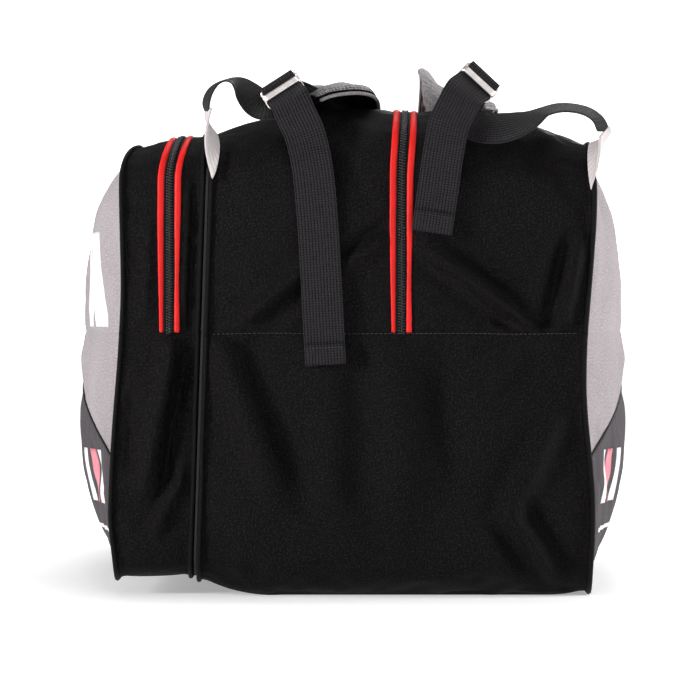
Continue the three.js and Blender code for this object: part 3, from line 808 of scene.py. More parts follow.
def add_cloth(obj, spare, pressure):
    """A light, springy cloth, without gravity or contact."""
    modifier = obj.modifiers.new("Cloth", "CLOTH")
    cloth = modifier.settings
    cloth.quality = 5
    cloth.mass = 0.25
    cloth.tension_stiffness = cloth.compression_stiffness = 18
    cloth.shear_stiffness = 8
    cloth.bending_stiffness = 0.6
    cloth.vertex_group_mass = "Pinned"
    cloth.shrink_min = -spare
    cloth.use_pressure = True
    cloth.uniform_pressure_force = pressure
    cloth.effector_weights.gravity = 0
    modifier.collision_settings.use_collision = False
    modifier.collision_settings.use_self_collision = False
    modifier.point_cache.frame_start = 1
    modifier.point_cache.frame_end = SETTLE_FRAMES
    return modifier


def mesh_points(obj):
    points = np.empty(len(obj.data.vertices) * 3)
    obj.data.vertices.foreach_get("co", points)
    return points.reshape(-1, 3)


def settle(obj, pinned, spare, pressure, cap):
    """Runs the cloth between its pinned points, and moves no point further than cap. spare is the
    share by which the cloth is larger than the space it fills, so that it creases."""
    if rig.quick():
        return
    start = mesh_points(obj)
    group = obj.vertex_groups.new(name="Pinned")
    group.add(np.flatnonzero(pinned).tolist(), 1.0, "REPLACE")
    modifier = add_cloth(obj, spare, pressure)
    scene = bpy.context.scene
    for number in range(1, SETTLE_FRAMES + 1):
        scene.frame_set(number)
    moved = mesh_points(obj.evaluated_get(bpy.context.evaluated_depsgraph_get()))
    obj.modifiers.remove(modifier)
    obj.vertex_groups.remove(group)
    scene.frame_set(1)
    step = moved - start
    step[~np.isfinite(step).all(axis=1)] = 0
    length = np.linalg.norm(step, axis=1, keepdims=True)
    soft = cap * np.tanh(length / cap) / np.maximum(length, 1e-9)
    obj.data.vertices.foreach_set("co", (start + step * soft).ravel())
    obj.data.update()


def from_edges(uv):
    """Each grid point's distance from the nearest of its four borders."""
    u, v = uv[..., 0], uv[..., 1]
    sides = (u - u[:1], u[-1:] - u, v - v[:, :1], v[:, -1:] - v)
    return np.minimum.reduce([np.abs(side) for side in sides])


DENT_SIZE = 0.09
DENT_MARGIN = 0.05  # the dents fade out over this distance from a seam
PUCKER = 0.0006
PUCKER_PITCH = 0.013
PUCKER_REACH = 0.006  # where the puckers beside a seam are deepest


def soften(grid, uv, seed, depth):
    """Adds the soft dents of filled fabric, and small puckers beside the seams."""
    u, v = uv[..., 0], uv[..., 1]
    edge = from_edges(uv)
    dents = layered_noise(u / DENT_SIZE + 7, v / DENT_SIZE + 3, seed)
    dents = dents * depth * smooth(edge / DENT_MARGIN)
    ripple = np.sin(2 * math.pi * u / PUCKER_PITCH + 2.5 * noise(u / 0.04 + 5, v / 0.2, seed + 9))
    near = edge / PUCKER_REACH
    uneven = 0.6 + 0.4 * noise(u / 0.05, v / 0.05, seed)
    puckers = PUCKER * ripple * near * np.exp(1 - near) * uneven
    return grid + normals_of(grid) * (dents + puckers)[..., None]


Crease = namedtuple("Crease", "start end depth width")
CREASE_SCALE = 3.3
CREASE_MARGIN = 0.012


def add_creases(grid, uv, creases):
    """Ridges or valleys along straight lines in x and z, on a surface that faces an end. They die
    out towards the seams."""
    normals = normals_of(grid)
    total = np.zeros(grid.shape[:2])
    for start, end, depth, width in creases:
        start, end = np.array(start), np.array(end)
        line = end - start
        place = grid[..., [0, 2]] - start
        along = np.clip(place @ line / (line @ line), -0.3, 1.3)
        gap = np.linalg.norm(place - along[..., None] * line, axis=-1)
        fade = smooth(1.6 - np.abs(along - 0.5) * 2)
        profile = np.exp(-((gap / width) ** 2)) - 0.5 * np.exp(-((gap / (2.2 * width)) ** 2))
        total += CREASE_SCALE * depth * profile * fade
    total *= smooth(from_edges(uv) / CREASE_MARGIN)
    return grid + normals * total[..., None]


def fabric(name, grid, uv, material, node, slot, place, seed, depth, spare=0.012, pressure=0.4,
           cap=0.005, creases=(), simulate=True):
    """A sewn piece of fabric. place rides or blends the finished piece."""
    grid = soften(grid, uv, seed, depth)
    if creases:
        grid = add_creases(grid, uv, creases)
    rows, columns = grid.shape[:2]
    obj = mesh_object(name, grid, grid_faces(rows, columns), uv, (material, LINING))
    if simulate:
        pinned = np.zeros((rows, columns), bool)
        pinned[[0, -1]] = True
        pinned[:, [0, -1]] = True
        settle(obj, pinned.ravel(), spare, pressure, cap)
    sharpen_border(obj)
    refine(obj)
    thicken(obj).material_offset = 1
    return attach(obj, slot, place, node)


# ---- Gussets ----

CLOTH_STEP = 0.0052
GUSSET_WIDTH = 0.36  # the main gusset's, which sets how fine every gusset's grid is
TUCK_REACH = 0.004


def gusset_grid(surface, s_range, left, right, reverse=False):
    """Points and distances over part of a gusset. left and right are shares of its width at s."""
    middle = lambda s: surface.at(s, (left(s) + right(s)) / 2)
    s, along = even_steps(middle, CLOTH_STEP, *s_range)
    width = abs(float(np.median((right(s) - left(s)))) * GUSSET_WIDTH) + 1e-6
    count = max(3, int(round(width / CLOTH_STEP)) + 1)
    share = np.linspace(1, 0, count) if reverse else np.linspace(0, 1, count)
    f = lerp(left(s)[:, None], right(s)[:, None], share[None])
    full = np.abs(1 / (surface.share_at(s, 1.0) - surface.share_at(s, 0.0)))[:, None]
    tuck = TUCK * sum(np.exp(-((share * full / TUCK_REACH) ** 2)) for share in (f, 1 - f))
    grid = surface.at(s[:, None], f, tuck)
    across = np.linalg.norm(np.diff(grid, axis=1), axis=2)
    v = np.concatenate([np.zeros((len(s), 1)), np.cumsum(across, axis=1)], axis=1)
    v = v - v[:, count // 2 : count // 2 + 1]
    u = np.broadcast_to(along[:, None], v.shape)
    return grid, np.stack([u, v], axis=-1)


def constant(value):
    return lambda s: np.full(np.shape(s), float(value))


def zip_line(surface, zip_x, distance):
    """The share of a gusset's width at a distance, a function of s, from the middle of its zip."""
    return lambda s: surface.share_at(s, lerp(zip_x[0], zip_x[1], corner_share(s)) + distance(s))


def trim_edge(s):
    """How far the ribbon reaches from the middle of its zip: it narrows down the bag's ends."""
    height = np.minimum(s, 1 - np.asarray(s)) / WALL_SHARE
    return TRIM_OUTER - TRIM_TAPER * (1 - smooth(height))


# The folds of the cloth, in x and z: (start, end, depth, width). Positive depths stand out.
MAIN_END_CREASES = (
    Crease((-0.100, 0.257), (-0.042, 0.304), 0.0034, 0.009),
    Crease((-0.080, 0.254), (-0.022, 0.300), -0.0026, 0.009),
    Crease((-0.006, 0.322), (0.034, 0.347), -0.0030, 0.006),
    Crease((-0.002, 0.310), (0.036, 0.335), 0.0022, 0.008),
    Crease((0.074, 0.322), (0.150, 0.266), 0.0046, 0.009),
    Crease((0.092, 0.336), (0.162, 0.284), -0.0030, 0.012),
    Crease((0.146, 0.268), (0.174, 0.243), 0.0036, 0.006),
    Crease((0.136, 0.262), (0.158, 0.248), -0.0026, 0.006),
    Crease((0.200, 0.330), (0.181, 0.246), -0.0042, 0.008),
    Crease((0.214, 0.330), (0.198, 0.250), 0.0026, 0.010),
)
MAIN_LOWER_CREASES = (
    Crease((-0.121, 0.236), (-0.074, 0.115), 0.0042, 0.018),
    Crease((-0.092, 0.225), (-0.045, 0.100), -0.0036, 0.016),
    Crease((-0.020, 0.215), (-0.015, 0.090), 0.0026, 0.018),
    Crease((0.038, 0.220), (0.048, 0.090), 0.0030, 0.020),
    Crease((0.085, 0.215), (0.100, 0.110), -0.0036, 0.020),
    Crease((0.152, 0.232), (0.118, 0.190), 0.0030, 0.012),
    Crease((0.190, 0.162), (0.148, 0.078), 0.0040, 0.012),
    Crease((0.152, 0.072), (0.186, 0.022), 0.0040, 0.007),
    Crease((0.167, 0.084), (0.198, 0.036), -0.0028, 0.008),
    Crease((0.138, 0.066), (0.165, 0.024), -0.0024, 0.009),
)
SIDE_END_CREASES = (
    Crease((-0.142, 0.372), (-0.147, 0.252), -0.0038, 0.006),
    Crease((-0.186, 0.340), (-0.190, 0.262), 0.0018, 0.008),
)
SIDE_LOWER_CREASES = (
    Crease((-0.166, 0.238), (-0.190, 0.112), 0.0034, 0.010),
    Crease((-0.151, 0.225), (-0.173, 0.105), -0.0034, 0.009),
    Crease((-0.158, 0.112), (-0.180, 0.062), 0.0024, 0.008),
    Crease((-0.204, 0.190), (-0.206, 0.120), -0.0018, 0.008),
)


def make_zip_gusset(prefix, surface, zip_x, walls, creases):
    """Both halves of a gusset with a zip. walls gives how each half follows the bodies."""
    left_edge = zip_line(surface, zip_x, constant(TRIM_OVERLAP - TRIM_OUTER))
    right_edge = zip_line(surface, zip_x, constant(TRIM_OUTER - TRIM_OVERLAP))
    halves = (("left", constant(0.0), left_edge), ("right", right_edge, constant(1.0)))
    for number, (side, left, right) in enumerate(halves):
        node = f"{prefix}_gusset_{side}"
        grid, uv = gusset_grid(surface, (0, 1), left, right, reverse=True)
        fabric(f"{node}_cloth", grid, uv, BLACK, node, "black_polyester", walls[side],
               seed=11 + 7 * number, creases=creases, depth=0.0022)
    for side, sign in (("left", -1), ("right", 1)):
        make_trim(prefix, surface, zip_x, side, sign, walls[side])
        make_chain(prefix, surface, zip_x, side, sign, walls[side])


STRIP_STEP = 0.004


def strip_over(surface, zip_x, inner, outer, sign, lifts):
    """A narrow strip beside a zip, with its lift at even places from its inner to its outer edge.
    inner and outer are functions of s."""

    def line(share):
        return zip_line(surface, zip_x, lambda s: sign * lerp(inner(s), outer(s), share))

    s, along = even_steps(lambda s: surface.at(s, line(0.5)(s)), STRIP_STEP)
    shares = np.linspace(0, 1, len(lifts))
    grid = np.stack([surface.at(s, line(share)(s), lift) for share, lift in zip(shares, lifts)], axis=1)
    v = (shares - 0.5) * float(outer(0.5) - inner(0.5))
    uv = np.stack(np.broadcast_arrays(along[:, None], v[None]), axis=-1)
    if sign > 0:
        grid, uv = grid[:, ::-1], uv[:, ::-1]
    return grid, uv


def make_trim(prefix, surface, zip_x, side, sign, place):
    """The red ribbon folded along the edge of the zip's tape."""
    node = f"{prefix}_zip_trim_{side}"
    lifts = np.array([0.0004, 0.0012, 0.0017, 0.0018, 0.0018, 0.0017, 0.0009])
    grid, uv = strip_over(surface, zip_x, constant(TRIM_INNER), trim_edge, sign, lifts)
    u = uv[..., 0]
    sway = noise(u / 0.06, u * 0 + 3, 31 + sign) * 0.0006 + np.sin(u * 2 * math.pi / 0.011) * 0.0002
    grid = grid + normals_of(grid) * sway[..., None]
    grid[..., 0] += noise(u / 0.045, u * 0 + 7, 35 + sign) * 0.0008
    obj = mesh_object(f"{node}_ribbon", grid, grid_faces(*grid.shape[:2]), uv, (RED,))
    refine(obj)
    thicken(obj, 0.0012)
    attach(obj, "red_trim", place, node)


def tooth_shape():
    """One tooth of a coil zip: a small rounded loop, along x, with its base at the origin."""
    section = ring(1.0, 6) * (0.00085, 0.0007)
    along = np.array([0.0, 0.0012, 0.0024, 0.0034, 0.0037])
    thick = np.array([0.8, 1.0, 1.0, 0.8, 0.3])
    grid = np.zeros((len(along), len(section), 3))
    grid[..., 0] = along[:, None]
    grid[..., 1] = section[None, :, 0] * thick[:, None]
    grid[..., 2] = section[None, :, 1] * thick[:, None] + 0.0004
    return grid


TOOTH_BASE = 0.0029  # from the middle of the zip to the outer ends of its teeth
TOOTH_LIFT = 0.0009
TAPE_GAP = 0.0003
TAPE_LIFTS = np.array([-0.0006, 0.0, 0.0003, 0.0004, 0.0004])


def teeth_along(surface, zip_x, sign):
    """The points of each tooth in a row, and its distance along the zip."""
    base = zip_line(surface, zip_x, constant(sign * TOOTH_BASE))
    line = lambda s: surface.at(s, base(s), TOOTH_LIFT)
    s, along = even_steps(line, TOOTH_PITCH)
    where = line(s)
    forward = unit(np.gradient(where, axis=0))
    inward = np.array([-sign, 0.0, 0.0])
    up = unit(np.cross(forward, inward)) * (1.0 if sign > 0 else -1.0)
    tooth = tooth_shape()
    for i in range(len(s)):
        shift = forward[i] * (TOOTH_PITCH / 4 * sign)
        body = (
            where[i] + shift
            + inward * tooth[..., 0:1]
            + forward[i] * tooth[..., 1:2]
            + up[i] * tooth[..., 2:3]
        )
        yield body, along[i]


def make_chain(prefix, surface, zip_x, side, sign, place):
    """Half of the zip's tape, with its row of teeth."""
    node = f"{prefix}_zip_chain_{side}"
    tape, tape_uv = strip_over(surface, zip_x, constant(TAPE_GAP), constant(TRIM_INNER + 0.0008),
                               sign, TAPE_LIFTS)
    faces = grid_faces(*tape.shape[:2])
    slots = [0] * len(faces)
    points, uvs = [tape.reshape(-1, 3)], [tape_uv.reshape(-1, 2)]
    count = tape.shape[0] * tape.shape[1]
    rows, columns = tooth_shape().shape[:2]
    loop = grid_faces(rows, columns, wrap=True)
    for body, distance in teeth_along(surface, zip_x, sign):
        points.append(body.reshape(-1, 3))
        uvs.append(np.full((rows * columns, 2), distance))
        faces += [tuple(count + k for k in face) for face in loop]
        ends = (count, count + (rows - 1) * columns)
        faces += [tuple(end + k for k in range(columns)) for end in ends]
        slots += [1] * (len(loop) + 2)
        count += rows * columns
    materials = (ZIP_TAPE, COIL)
    obj = mesh_object(f"{node}_teeth", np.vstack(points), faces, np.vstack(uvs), materials, slots)
    attach(obj, "zip_coil", place, node)


def make_lower_gusset(prefix, surface, creases):
    corner_end = WALL_SHARE + CORNER_SHARE
    spans = (
        ("end_front_lower", 0.0, corner_end, 21),
        ("floor", corner_end, 1 - corner_end, 25),
        ("end_rear_lower", 1 - corner_end, 1.0, 29),
    )
    for name, start, end, seed in spans:
        node = f"{prefix}_{name}"
        flat = name == "floor"
        grid, uv = gusset_grid(surface, (start, end), constant(0.0), constant(1.0))
        fabric(f"{node}_cloth", grid, uv, BLACK, node, "black_polyester", on("shell"), seed=seed,
               depth=0.0006 if flat else 0.003, creases=() if flat else creases, simulate=not flat)


# ---- Faces ----

PANEL_STEP = 0.0075
PRINT_STEP = 0.004
PRINT_LIFT = 0.0003  # from the cloth to the print on it
RAY_LENGTH = 0.05  # how far outside the face the search for the cloth starts
BAR_PITCH = 0.030
STRIPE_PITCH = 0.075


def edge_at(u, half, radius):
    """y along a face's edge, and how far a rounded corner takes the edge in there."""
    q = np.minimum(u, 1 - u)
    angle = np.clip(q / 0.25, 0, 1) * (math.pi / 2)
    reach = half - radius * (1 - np.cos(angle)) - (half - radius) * np.clip(4 * q - 1, 0, 1)
    return np.where(u < 0.5, -1, 1) * reach, radius * (1 - np.sin(angle))


def kick_z(y, half):
    return KICK_END_Z + KICK_RISE * (1 - np.abs(y / half) ** 2.2)


class Face:
    """The front or back of the bag, between its piped edges."""

    def __init__(self, prefix, outline, sign, bulge, peak, power, wall, stripes_y):
        self.prefix, self.outline, self.sign, self.wall = prefix, outline, sign, wall
        self.stripes_y = stripes_y
        self.bulge, self.peak, self.power = bulge, peak, power
        self.half = outline.half + TUCK / 2
        self.bottom = outline.bottom - TUCK / 2
        self.top = outline.top + TUCK / 2

    def x(self, y, z, lift=0.0):
        share = np.clip((z - self.bottom) / (self.top - self.bottom), 0, 1)
        up = np.maximum(np.sin(math.pi * share**self.peak), 0) ** self.power
        flat = 1 - np.abs(y / self.half) ** FACE_FLATNESS
        return self.outline.x(z) + self.sign * (self.bulge * flat * up + lift)

    def point(self, y, z, lift=0.0):
        y, z = np.broadcast_arrays(y, z)
        return np.stack([self.x(y, z, lift), y, z], axis=-1)

    def panel(self, name, node, material, slot, place, radius, low, high, seed):
        """low and high give z on the lower and upper edge, from y and the corner's reach."""
        line = lambda u: np.stack([edge_at(u, self.half, radius)[0], 0 * u, 0 * u], axis=-1)
        u, _ = even_steps(line, PANEL_STEP)
        u = u if self.sign > 0 else u[::-1]
        y, corner = edge_at(u, self.half, radius)
        z_low, z_high = low(y, corner), high(y, corner)
        count = max(3, int(round(np.max(z_high - z_low) / PANEL_STEP)) + 1)
        share = np.linspace(0, 1, count)
        z = lerp(z_low[:, None], z_high[:, None], share[None])
        y = np.broadcast_to(y[:, None], z.shape)
        grid = self.point(y, z)
        uv = np.stack([y, z], axis=-1)
        return fabric(name, grid, uv, material, node, slot, place, seed=seed, depth=0.0042,
                      spare=0.016, pressure=0.3, cap=0.006)

    def make(self):
        top_radius = TOP_CORNER + TUCK / 2
        bottom_radius = BOTTOM_CORNER + TUCK / 2
        fold = lambda y, corner: np.full(np.shape(y), FOLD_Z)
        kick = lambda y, corner: kick_z(y, self.half)
        upper = lambda y, corner: self.top - corner
        lower = lambda y, corner: self.bottom + corner
        name = self.prefix
        upper_panel = self.panel(f"{name}_upper_cloth", f"{name}_panel_upper", GREY, "grey_weave",
                                 folds_with(self.wall), top_radius, fold, upper, 41)
        self.panel(f"{name}_band_cloth", f"{name}_panel_lower", GREY, "grey_weave",
                   on("shell"), bottom_radius, kick, fold, 45)
        kick_panel = self.panel(f"{name}_kick_cloth", f"{name}_kick_panel", CHARCOAL, "charcoal_weave",
                                on("shell"), bottom_radius, lower, kick, 49)
        self.make_kick_binding()
        self.make_prints(upper_panel, kick_panel)

    def make_kick_binding(self):
        """The black tape sewn over the seam between the light and the dark cloth."""
        y = np.linspace(-self.half + 0.001, self.half - 0.001, 180)
        line = self.point(y, kick_z(y, self.half), 0.0007)
        across, out = frames_along(line, (0.0, 0.0, 1.0))
        obj = sweep(f"{self.prefix}_kick_binding", line, across, out,
                    flat_section(0.0034, 0.0016, 5), (PIPING,))
        attach(obj, "piping", on("shell"))

    def print_bar(self, name, panel, material, place, near, size, slant):
        """A printed bar with slanted ends, lying on a panel's cloth."""
        rows, columns = (max(3, int(length / PRINT_STEP)) for length in size)
        u, v = np.meshgrid(np.linspace(0, 1, rows), np.linspace(0, 1, columns), indexing="ij")
        y = near[0] + size[0] * u + slant * v
        z = near[1] + size[1] * v
        if self.sign < 0:
            y, z = y[::-1], z[::-1]
        grid = self.point(y, z)
        cloth = BVHTree.FromObject(panel, bpy.context.evaluated_depsgraph_get())
        inward = Vector((-self.sign, 0, 0))
        for spot in grid.reshape(-1, 3):
            hit, normal, _, _ = cloth.ray_cast(Vector(spot) - inward * RAY_LENGTH, inward)
            if hit is not None:
                spot[:] = hit + normal * PRINT_LIFT
        uv = np.stack([y, z], axis=-1)
        obj = mesh_object(name, grid, grid_faces(rows, columns), uv, (material,))
        thicken(obj, 0.0006)
        attach(obj, "grey_weave", place)

    def make_prints(self, upper, kick):
        """Plain slanted bars: a group near each end of the kick panel, with a thin line below it,
        and two bars on the upper panel."""
        shell = on("shell")
        for mirror in (-1, 1):
            for number, material in enumerate((WHITE_PRINT, ROSE_PRINT, WHITE_PRINT)):
                near = (mirror * (0.388 - number * BAR_PITCH) - 0.009, 0.084)
                self.print_bar(f"{self.prefix}_bar_{number}_{mirror}", kick, material, shell,
                               near, (0.018, 0.050), -mirror * 0.016)
            near = (mirror * 0.335 - 0.085, 0.058)
            self.print_bar(f"{self.prefix}_line_{mirror}", kick, WHITE_PRINT, shell,
                           near, (0.170, 0.004), -mirror * 0.002)
        for number, width in enumerate((0.050, 0.022)):
            near = (self.stripes_y + number * STRIPE_PITCH, FOLD_Z + FOLD_BAND * 0.04)
            self.print_bar(f"{self.prefix}_stripe_{number}", upper, WHITE_PRINT,
                           folds_with(self.wall), near, (width, 0.090), 0.030)


DIVIDER_STEP = 0.012
DIVIDER_ROWS = 34


def make_divider():
    """The single sheet of cloth between the two compartments."""
    half, bottom, top = MAIN_INNER.half, MAIN_INNER.bottom, MAIN_INNER.top
    line = lambda u: np.stack([edge_at(u, half, TOP_CORNER)[0], 0 * u, 0 * u], axis=-1)
    u, _ = even_steps(line, DIVIDER_STEP)
    y, corner = edge_at(u, half, TOP_CORNER)
    share = np.linspace(0, 1, DIVIDER_ROWS)
    z = lerp((bottom + corner / 2)[:, None], (top - corner)[:, None], share[None])
    y = np.broadcast_to(y[:, None], z.shape)
    grid = np.stack([divider_x(z) + CLOTH / 2, y, z], axis=-1)
    fabric("divider_cloth", grid, np.stack([y, z], axis=-1), LINING, "divider_panel", "black_polyester",
           on("shell"), seed=61, depth=0.001, simulate=False)


# ---- Piping ----

PIPING_STEP = 0.004
PIPING_SIDES = 12


def piping_line(outline, shift, way):
    def line(s):
        y, z, out_y, out_z = walk(outline, s, way)
        x = outline.x(z) + shift
        return np.stack([x, y + out_y * PIPING_RISE, z + out_z * PIPING_RISE], axis=-1)

    return line


def make_piping(name, node, line, place, closed=False):
    s, _ = even_steps(line, PIPING_STEP)
    if closed:
        s = s[:-1]
    points = line(s)
    wobble = noise(np.arange(len(s)) / 9.0, np.zeros(len(s)), 71) * 0.0004
    points[:, 0] += wobble
    obj = tube(name, points, PIPING_RADIUS, PIPING, sides=PIPING_SIDES, closed=closed)
    attach(obj, "piping", place, node)


def make_face_piping(prefix, outline, shift, wall):
    make_piping(f"{prefix}_upper_cord", f"{prefix}_piping_upper", piping_line(outline, shift, OVER),
                folds_with(wall))
    make_piping(f"{prefix}_lower_cord", f"{prefix}_piping_lower", piping_line(outline, shift, UNDER),
                on("shell"))


def make_divider_piping(name, node, outline):
    over, under = (piping_line(outline, 0.0, way) for way in (OVER, UNDER))

    def loop(t):
        t = np.asarray(t)
        first = over(np.clip(2 * t, 0, 1))
        second = under(np.clip(2 - 2 * t, 0, 1))
        return np.where((t <= 0.5)[:, None], first, second)

    make_piping(name, node, loop, on("shell"), closed=True)


# ---- Stitching ----

STITCH_RADIUS = 0.00038
STITCH_SIDES = 5
STITCH_STOPS = np.array([0.0, 0.25, 0.75, 1.0])  # along a stitch, which dips at both ends
STITCH_HEIGHTS = np.array([[-0.0003], [0.0002], [0.0002], [-0.0003]])


def stitch_run(name, line, up, pitch=0.0042, length=0.003):
    """A row of stitches along a line of points, standing just off the cloth."""
    along = distances(line)
    starts = np.arange(pitch / 2, along[-1] - length, pitch)
    section = ring(1.0, STITCH_SIDES)
    points, faces = [], []
    for start in starts:
        stops = start + length * STITCH_STOPS
        middle = np.stack([np.interp(stops, along, line[:, k]) for k in range(3)], axis=-1)
        raised = np.stack([np.interp(stops, along, up[:, k]) for k in range(3)], axis=-1)
        forward = unit(middle[-1] - middle[0])
        side = unit(np.cross(forward, raised))
        middle = middle + raised * STITCH_HEIGHTS
        body = (
            middle[:, None]
            + side[:, None] * section[None, :, 0:1] * STITCH_RADIUS
            + raised[:, None] * section[None, :, 1:2] * STITCH_RADIUS
        )
        first = len(points) * len(STITCH_STOPS) * STITCH_SIDES
        last = first + (len(STITCH_STOPS) - 1) * STITCH_SIDES
        points.append(body.reshape(-1, 3))
        faces += grid_faces(len(STITCH_STOPS), STITCH_SIDES, wrap=True, first=first)
        faces += [tuple(end + k for k in range(STITCH_SIDES)) for end in (first, last)]
    stacked = np.vstack(points)
    obj = mesh_object(name, stacked, faces, stacked[:, :2], (THREAD,))
    return turn_faces_out(obj)


def make_end_seams():
    """The row of stitches across each end, below the zips, on a fold of the cloth."""
    for end, sign in (("front", -1.0), ("rear", 1.0)):
        f = np.linspace(0.012, 0.988, 160)
        s = np.full(f.shape, 0.0008 if sign < 0 else 0.9992)
        line = MAIN_UNDER.at(s, f, 0.0010)
        line[:, 2] += 0.0008 * noise(f * 6, f * 0, 5)
        face = np.zeros((len(f), 3))
        face[:, 1] = sign
        stitches = stitch_run(f"main_{end}_seam_stitches", line, face)
        attach(stitches, "black_polyester", on("shell"))


# ---- Straps ----

MM = 0.001
STRAP_STEP = 0.004
PAD_STEP = 0.006
TAIL_STEP = 0.0025
ROLL_STEP = 0.0016


def stations(rows):
    """Stations in millimetres, as in the frame, turned to metres and directions."""
    places = np.array([row[0] for row in rows], float) * MM
    sides = np.array([row[1] for row in rows], float)
    return places, sides


def strap_line(rows, spacing=STRAP_STEP):
    places, sides = stations(rows)
    t, along = even_steps(lambda t: spline(places, t), spacing)
    at = spline(places, t)
    tangent = unit(np.gradient(at, axis=0))
    side = spline(sides, t)
    across = unit(side - tangent * np.sum(side * tangent, axis=1, keepdims=True))
    return at, across, np.cross(across, tangent), along


def turns(first, second, start, end):
    """The piece follows one body, and turns to follow the next one between two points in millimetres."""
    points = [tuple(value * MM for value in point) for point in (start, end)]
    return lambda obj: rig.blend(obj, first, second, *points)


def rise_over(cloth, at, across):
    """How far each station of a strip has to rise to lie on the cloth below it."""
    tree = BVHTree.FromObject(cloth, bpy.context.evaluated_depsgraph_get())
    rise = np.zeros(len(at))
    for i, (middle, side) in enumerate(zip(at, across)):
        for share in (-0.5, -0.25, 0, 0.25, 0.5):
            spot = middle + side * WEBBING_WIDTH * share
            hit = tree.ray_cast(Vector((spot[0], spot[1], 1.0)), Vector((0, 0, -1)))[0]
            if hit is not None:
                rise[i] = max(rise[i], hit.z + WEBBING - spot[2])
    reach = 6
    padded = np.pad(rise, 2 * reach, mode="edge")
    highest = np.array([padded[i : i + 2 * reach + 1].max() for i in range(len(rise) + 2 * reach)])
    blur = np.hanning(2 * reach + 3)[1:-1]
    return np.convolve(highest, blur / blur.sum(), mode="valid")


def webbing(name, rows, node, place, spacing=STRAP_STEP, cloth=None):
    """A length of webbing along a route. If it is given a cloth, it lies on it."""
    at, across, out, along = strap_line(rows, spacing)
    sway = noise(along / 0.07 + 3, along * 0, 81) * 0.0008
    at = at + out * sway[:, None]
    if cloth:
        at[:, 2] += rise_over(bpy.data.objects[cloth], at, across)
    obj = sweep(name, at, across, out, flat_section(WEBBING_WIDTH, WEBBING, 11), (STRAP,))
    refine(obj)
    return attach(obj, "webbing", place, node)


# How each length of webbing follows the bodies: the tails bend below their slides, and the right
# strap bends where it leaves its tabs.
PLACES = {
    "left": {
        "webbing_front": on("left_strap"),
        "webbing_rear": on("left_strap"),
        "tail": turns("left_strap", "left_tail", (-58.4, -457, 464.8), (-44, -465, 412)),
    },
    "right": {
        "webbing_front": turns("back_wall", "right_strap", (236.5, -446.5, 433), (216, -444, 455)),
        "webbing_rear": turns("back_wall", "right_strap", (236.5, 447, 433), (222, 436, 460)),
        "tail": turns("right_strap", "right_tail", (110.6, -459, 471.8), (92, -470.5, 424)),
    },
}


